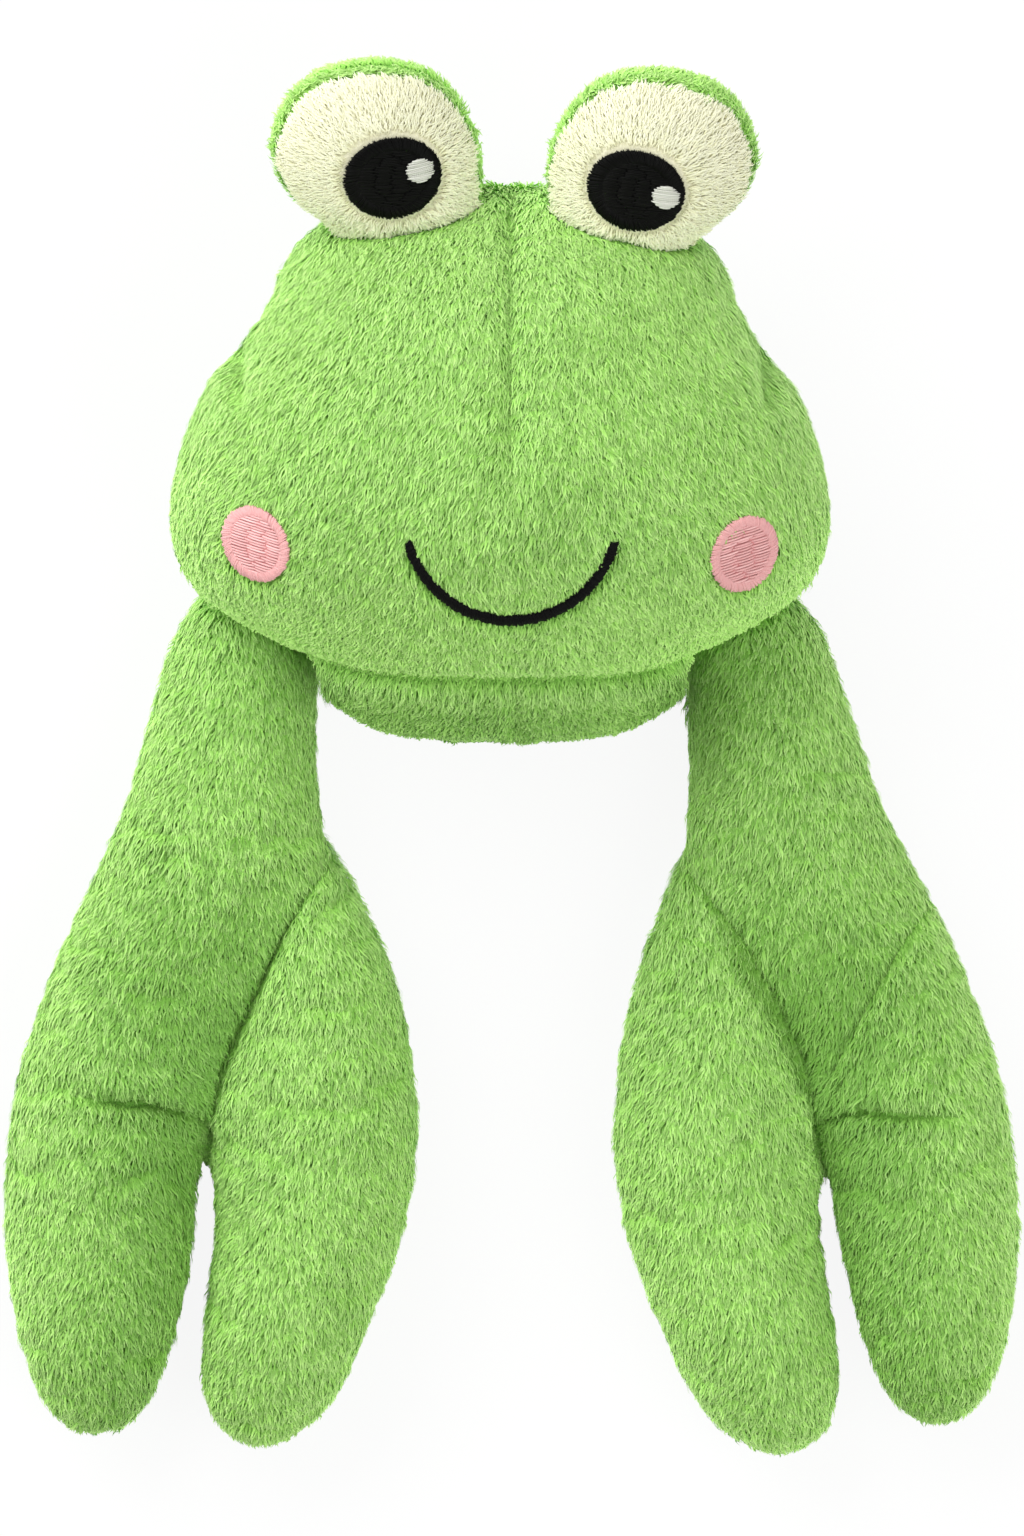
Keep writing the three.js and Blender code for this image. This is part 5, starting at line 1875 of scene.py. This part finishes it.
@dataclass
class Face:
    """Head of the toy with its cheeks and its smile."""

    form: HeadForm
    cheek_half: Pair = (9.5, 7.5)
    cheek_inset: float = 22.5
    cheek_level: float = -20.6
    cheek_tilt: float = 58.0
    face_drop: float = 1.2
    smile_radius: float = 26.5
    smile_level: float = -11.5
    smile_span: float = 146.0
    smile_width: float = 2.2
    smile_stitches: int = 190

    def smile(self, ground: Ground) -> Embroidery:
        """Plans the smile: satin stitches across an arc.

        Args:
            ground: skin of the face.

        Returns:
            The embroidery.
        """
        sewn = Embroidery("smile", ground, Thread.BLACK, width=0.5, lift=1.6, seed=9, ragged=0.4)
        centre = np.array([self.form.face_turn, self.smile_level])
        angles = self.smile_angles(41)
        ways = np.stack([np.cos(angles), np.sin(angles)], axis=1)
        radii = self.smile_radius + np.array([-0.4, 0, 0.4]) * self.smile_width
        sewn.lay_base(centre + ways[:, None, :] * radii[None, :, None], 0.1, 1.2)
        for angle in self.smile_angles(self.smile_stitches):
            from_end = math.radians(self.smile_span) / 2 - abs(angle - 1.5 * np.pi)
            half = self.smile_width / 2 * min(1, 0.55 + 12 * from_end)
            way = np.array([np.cos(angle), np.sin(angle)])
            skew = np.array([-way[1], way[0]]) * 0.35
            inner, outer = way * (self.smile_radius - half) - skew, way * (self.smile_radius + half) + skew
            sewn.lay(centre + inner, centre + outer)
        return sewn

    def smile_angles(self, count: int) -> Array:
        """So many even angles along the smile's arc."""
        return np.radians(270 + np.linspace(-0.5, 0.5, count) * self.smile_span)

    def cheek(self, ground: Ground, side: Side) -> Embroidery:
        """Plans one cheek: tilted rows inside a border.

        Args:
            ground: skin of the face.
            side: which cheek.

        Returns:
            The embroidery.
        """
        sewn = Embroidery(f"{side.word}_cheek", ground, Thread.PINK, lift=1.5, seed=20 + side.value)
        centre = np.array([side.value * (self.form.width / 2 - self.cheek_inset),
                           self.cheek_level - side.value * self.face_drop])
        sewn.spot(centre, self.cheek_half, border=0.8, pitch=0.62, radial=135,
                  tilt=side.value * self.cheek_tilt, row_tilt=18 * side.value)
        return sewn

    def dress(self, shop: Workshop, panels: Panels) -> None:
        """Embroiders the face and grows the pile of the three panels.

        Args:
            shop: shared makers.
            panels: face, belly and back.
        """
        ground = Ground(panels["face"], self.form.place)
        sewn = [self.smile(ground), *(self.cheek(ground, side) for side in Side)]
        bare = bmesh.new()
        for patch in sewn:
            log.info("%s: %d stitches", patch.sew(shop).name, len(patch.stitches))
            bare.from_mesh(patch.base.data)
            bpy.data.objects.remove(patch.base)
        mesh = bpy.data.meshes.new("bare_places")
        bare.to_mesh(mesh)
        bare.free()
        bare_places = bpy.data.objects.new("bare_places", mesh)
        for name, density, around in (("face", 3.6, bare_places), ("belly", 3.4, None), ("back", 1.8, None)):
            shop.dress(name, panels[name], PanelPlan((f"{name}_panel",), ("head",), density=density), around)
        bpy.data.objects.remove(bare_places)
        shop.stuff("head_stuffing", "head")


@dataclass
class Limb:
    """Arm with its claw: upper arm, hand and inner finger."""

    side: Side
    arm: ArmForm
    root_bend: Pair = (-6, 12)
    crease_bend: Pair = (7, -22)
    finger_bend: float = 13
    front_density: float = 3.5
    back_density: float = 1.8

    def dress(self, shop: Workshop, panels: Panels) -> None:
        """Grows the pile of every panel and lets it bend at the limb's folds.

        Args:
            shop: shared makers.
            panels: panels of the arm and its claw.
        """
        word, lines = self.side.word, self.arm.lines
        arm, inner, outer = (f"{word}_{part}" for part in ("arm", "inner_finger", "outer_finger"))
        root, crotch = self.arm.root_way(), lines.crotch_point()
        bends = {
            "upper_arm": (("head", arm), [root * reach for reach in self.root_bend]),
            "hand": ((arm, outer), [Vector((0, reach - lines.crease_down, 0)) for reach in self.crease_bend]),
            "inner_finger": ((arm, inner), [crotch, crotch + lines.finger_normal() * self.finger_bend])}
        stands_for = {"upper_arm": [arm], "hand": [arm, outer], "inner_finger": [inner]}
        densities = {"front": self.front_density, "back": self.back_density}
        for name, panel in panels.items():
            part, face = name.rsplit("_", 1)
            bodies, bend = bends[part]
            start, end = (self.arm.at(*place) for place in bend)
            nodes = tuple(f"{node}_{face}_panel" for node in stands_for[part])
            plan = PanelPlan(nodes, bodies, bend=(start, end), density=densities[face])
            shop.dress(f"{word}_{name}", panel, plan)
        for body in (arm, inner, outer):
            shop.stuff(f"{body}_stuffing", body)


class Squeaker:
    """Air bulb and reed inside the head, kept as they are and given their plastic."""

    @staticmethod
    def dress() -> None:
        """Gives both parts their material."""
        bulb = PlasticFinish("squeaker_plastic", (0.74, 0.72, 0.63), (0.84, 0.82, 0.75), 0.45)
        reed = PlasticFinish("reed_plastic", (0.52, 0.54, 0.57), (0.64, 0.66, 0.69), 0.35)
        for node, finish in (("squeaker_bulb", bulb), ("squeaker_reed", reed)):
            mesh = frame["nodes"][node].data
            dress_in(mesh, finish.material())
            log.info("%s: %d faces", node, len(mesh.polygons))


@dataclass
class Studio:
    """White floor, soft light from the upper left and a camera straight above the toy."""

    lens: float = 1000.0
    sight_from_head: Pair = (3.0, -75.5)
    sight_height: float = 35.0
    seen_height: float = 384.0
    sky: float = 0.33

    LAMPS = (("key_light", (-1.1, 1.4, 1.4), 2.0, 53.5), ("side_light", (-1.7, -0.1, 0.9), 1.2, 8.0),
             ("fill_light", (0.9, -0.6, 1.2), 1.4, 16.0))

    def build(self) -> None:
        """Sets up floor, lamps, sky and camera."""
        scene = bpy.context.scene
        scene.view_settings.view_transform = "Standard"
        self.floor()
        for name, place, size, power in self.LAMPS:
            self.lamp(name, Vector(place), size, power)
        scene.world = bpy.data.worlds.new("studio")
        scene.world.use_nodes = True
        sky = NodeBuilder(scene.world.node_tree)
        light = sky.nodes["Background"].inputs
        light["Color"].default_value = (1, 1, 1, 1)
        path = sky.add("ShaderNodeLightPath")
        seen = sky.add("ShaderNodeMapRange", {
            "Value": path.outputs["Is Camera Ray"], "To Min": self.sky, "To Max": 1.0})
        sky.links.new(seen.outputs["Result"], light["Strength"])
        camera = bpy.data.cameras.new("camera")
        camera.lens = self.lens
        camera.clip_end = 20
        away = self.seen_height / 2 * MM * self.lens / (camera.sensor_width / 2)
        eye = linked("camera", camera)
        head = head_middle()
        across, along = self.sight_from_head
        eye.location = (head.x + across * MM, head.y + along * MM, self.sight_height * MM + away)
        scene.camera = eye

    @staticmethod
    def floor() -> None:
        """Lays a wide white floor."""
        half, under = 3000.0, -0.2
        plan = ((-half, -half), (half, -half), (half, half), (-half, half))
        ground = mesh_object("floor", np.array([(x, y, under) for x, y in plan]), [(0, 1, 2, 3)])
        shader = Shader("white_paper", 0.9, Specular_IOR_Level=0.1)
        shader.colour(shader.ramp(shader.noise(30), (0.2, (0.9, 0.9, 0.9)), (0.8, (0.94, 0.94, 0.94))))
        glow = shader.add("ShaderNodeEmission", {"Strength": 1.0})
        path = shader.add("ShaderNodeLightPath")
        seen = shader.add("ShaderNodeMath", {0: path.outputs["Is Camera Ray"], 1: 0.91}, operation="MULTIPLY")
        mixed = shader.add("ShaderNodeMixShader", {
            0: seen.outputs[0], 1: shader.surface.outputs[0], 2: glow.outputs[0]})
        shader.links.new(mixed.outputs[0], shader.nodes["Material Output"].inputs["Surface"])
        ground.data.materials.append(shader.material)

    @staticmethod
    def lamp(name: str, place: Vector, size: float, power: float) -> None:
        """Hangs a soft square lamp that points at the toy.

        Args:
            name: name of the lamp.
            place: where it hangs, in metres.
            size: side of the square, in metres.
            power: its power in watts.
        """
        light = bpy.data.lights.new(name, "AREA")
        light.size = size
        light.energy = power
        hung = linked(name, light)
        hung.location = place
        hung.rotation_euler = (-place).to_track_quat("-Z", "Y").to_euler()


@dataclass(frozen=True)
class SideFit:
    """What differs between both sides of the toy: how each eye sits and how each claw is sewn."""

    eye_shift: float
    eye_raise: float
    pupil: Pair
    glint: Pair
    splay: float
    finger_drop: float
    palm_seam: float
    seam_bow: float
    seam_fade: Pair
    crease_depth: float
    crease_slope: float
    arm_outer: Profile
    arm_inner: Profile
    finger_outer: Profile
    finger_inner: Profile


@dataclass
class Toy:
    """The whole toy: head, two eye pads and two limbs."""

    eye_spread: float = 32.0
    eye_drop: float = 7.2
    eye_lean: float = 25.0
    eye_splay: float = 8.0

    FITS = {
        Side.LEFT: SideFit(
            eye_shift=0.6, eye_raise=1.2, pupil=(3.0, 16.0), glint=(6.9, 1.2), splay=0.0, finger_drop=-1.2,
            palm_seam=0.4, seam_bow=-1.5, seam_fade=(0.68, 1.08), crease_depth=6.2, crease_slope=0.24,
            arm_outer=Profile((20, 0.3), (50, 1)),
            arm_inner=Profile((138, 0), (150, -0.9), (165, -0.9), (190, 0)),
            finger_outer=Profile((0, 0), (1, 0)),
            finger_inner=Profile((56, 0), (88, -0.7), (150, -0.7), (165, 0), (185, 0.6), (203, 0.8))),
        Side.RIGHT: SideFit(
            eye_shift=0.9, eye_raise=-1.2, pupil=(2.9, 15.2), glint=(7.5, 0.0), splay=2.8, finger_drop=1.1,
            palm_seam=3.2, seam_bow=-3.5, seam_fade=(0.65, 1.05), crease_depth=4.2, crease_slope=0.02,
            arm_outer=Profile((15, -0.8), (40, -0.2), (60, 0), (90, -0.5)),
            arm_inner=Profile((50, 0), (60, 1.2), (75, 1.7), (88, 1.7), (115, 0), (200, 0)),
            finger_outer=Profile((56, 0), (88, 1.3), (170, 1.3), (190, 0.8)),
            finger_inner=Profile((50, 0), (60, 1.2), (75, 1.7), (88, 1.7), (110, 1.2), (127, 0.7), (150, 0.3),
                                 (203, 0.3)))}

    def head_form(self) -> HeadForm:
        """Form of the head, in the middle of its back panel."""
        return HeadForm("head", Matrix.Translation(head_middle()))

    def pad_form(self, side: Side, head: HeadForm) -> PadForm:
        """Form of one eye pad, standing on the crown.

        Args:
            side: which eye.
            head: form of the head.

        Returns:
            The pad's form.
        """
        fit = self.FITS[side]
        x = head.face_turn + side.value * self.eye_spread + fit.eye_shift
        y = head.length / 2 - self.eye_drop + fit.eye_raise
        stand = head.place @ Matrix.Translation(Vector((x, y, head.face_height(x, y))) * MM)
        turn = Matrix.Rotation(math.radians(-side.value * self.eye_splay), 4, "Z")
        lean = Matrix.Rotation(math.radians(self.eye_lean), 4, "X")
        inward, up = fit.pupil
        return PadForm(f"{side.word}_eye", stand @ turn @ lean, head=head, outward=side.value,
                       pupil=(-side.value * inward, up))

    def limb(self, side: Side, head: HeadForm) -> Limb:
        """One arm with its inner finger, hung on its shoulder joint.

        Args:
            side: which arm.
            head: form of the head.

        Returns:
            The limb.
        """
        fit = self.FITS[side]
        joint = next(j for j in frame["joints"] if j["name"] == f"{side.word}_shoulder")
        x, y, _ = joint["pos_m"]
        turn = Matrix.Rotation(math.radians(side.value * fit.splay), 4, "Z")
        place = Matrix.Translation((x, y, 0)) @ turn @ Matrix.Diagonal((side.value, 1, 1, 1))
        lower = Matrix.Translation((0, -fit.finger_drop * MM, 0))
        finger = FingerForm(f"{side.word}_finger", place @ lower, outer_fit=fit.finger_outer,
                            inner_fit=fit.finger_inner)
        arm = ArmForm(f"{side.word}_limb", place, inner=finger, head=head, palm_seam=fit.palm_seam,
                      crease_slope=fit.crease_slope, crease_depth=fit.crease_depth, seam_bow=fit.seam_bow,
                      seam_fade=fit.seam_fade, outer_fit=fit.arm_outer, inner_fit=fit.arm_inner)
        return Limb(side, arm)

    def build(self) -> None:
        """Sews and fills every form, then dresses every piece."""
        shop = Workshop()
        head = self.head_form()
        pads = {side: self.pad_form(side, head) for side in Side}
        head.pads = list(pads.values())
        limbs = [self.limb(side, head) for side in Side]
        forms: list[StuffedForm] = [head, *pads.values(), *(limb.arm for limb in limbs)]
        sewn = [(form, shop.upholsterer.sew(form)) for form in forms]
        shop.upholsterer.fill(sewn)
        panels = {form.name: shop.upholsterer.panels(form, piece) for form, piece in sewn}
        Face(head).dress(shop, panels["head"])
        for side, pad in pads.items():
            EyePad(side, pad, *self.FITS[side].glint).dress(shop, panels[pad.name])
        for limb in limbs:
            limb.dress(shop, panels[limb.arm.name])
        Squeaker.dress()


def main() -> None:
    """Builds the toy and the studio."""
    logging.basicConfig(level=logging.INFO, format="%(message)s")
    Toy().build()
    Studio().build()
    bpy.context.view_layer.update()


if __name__ == "__main__":
    main()
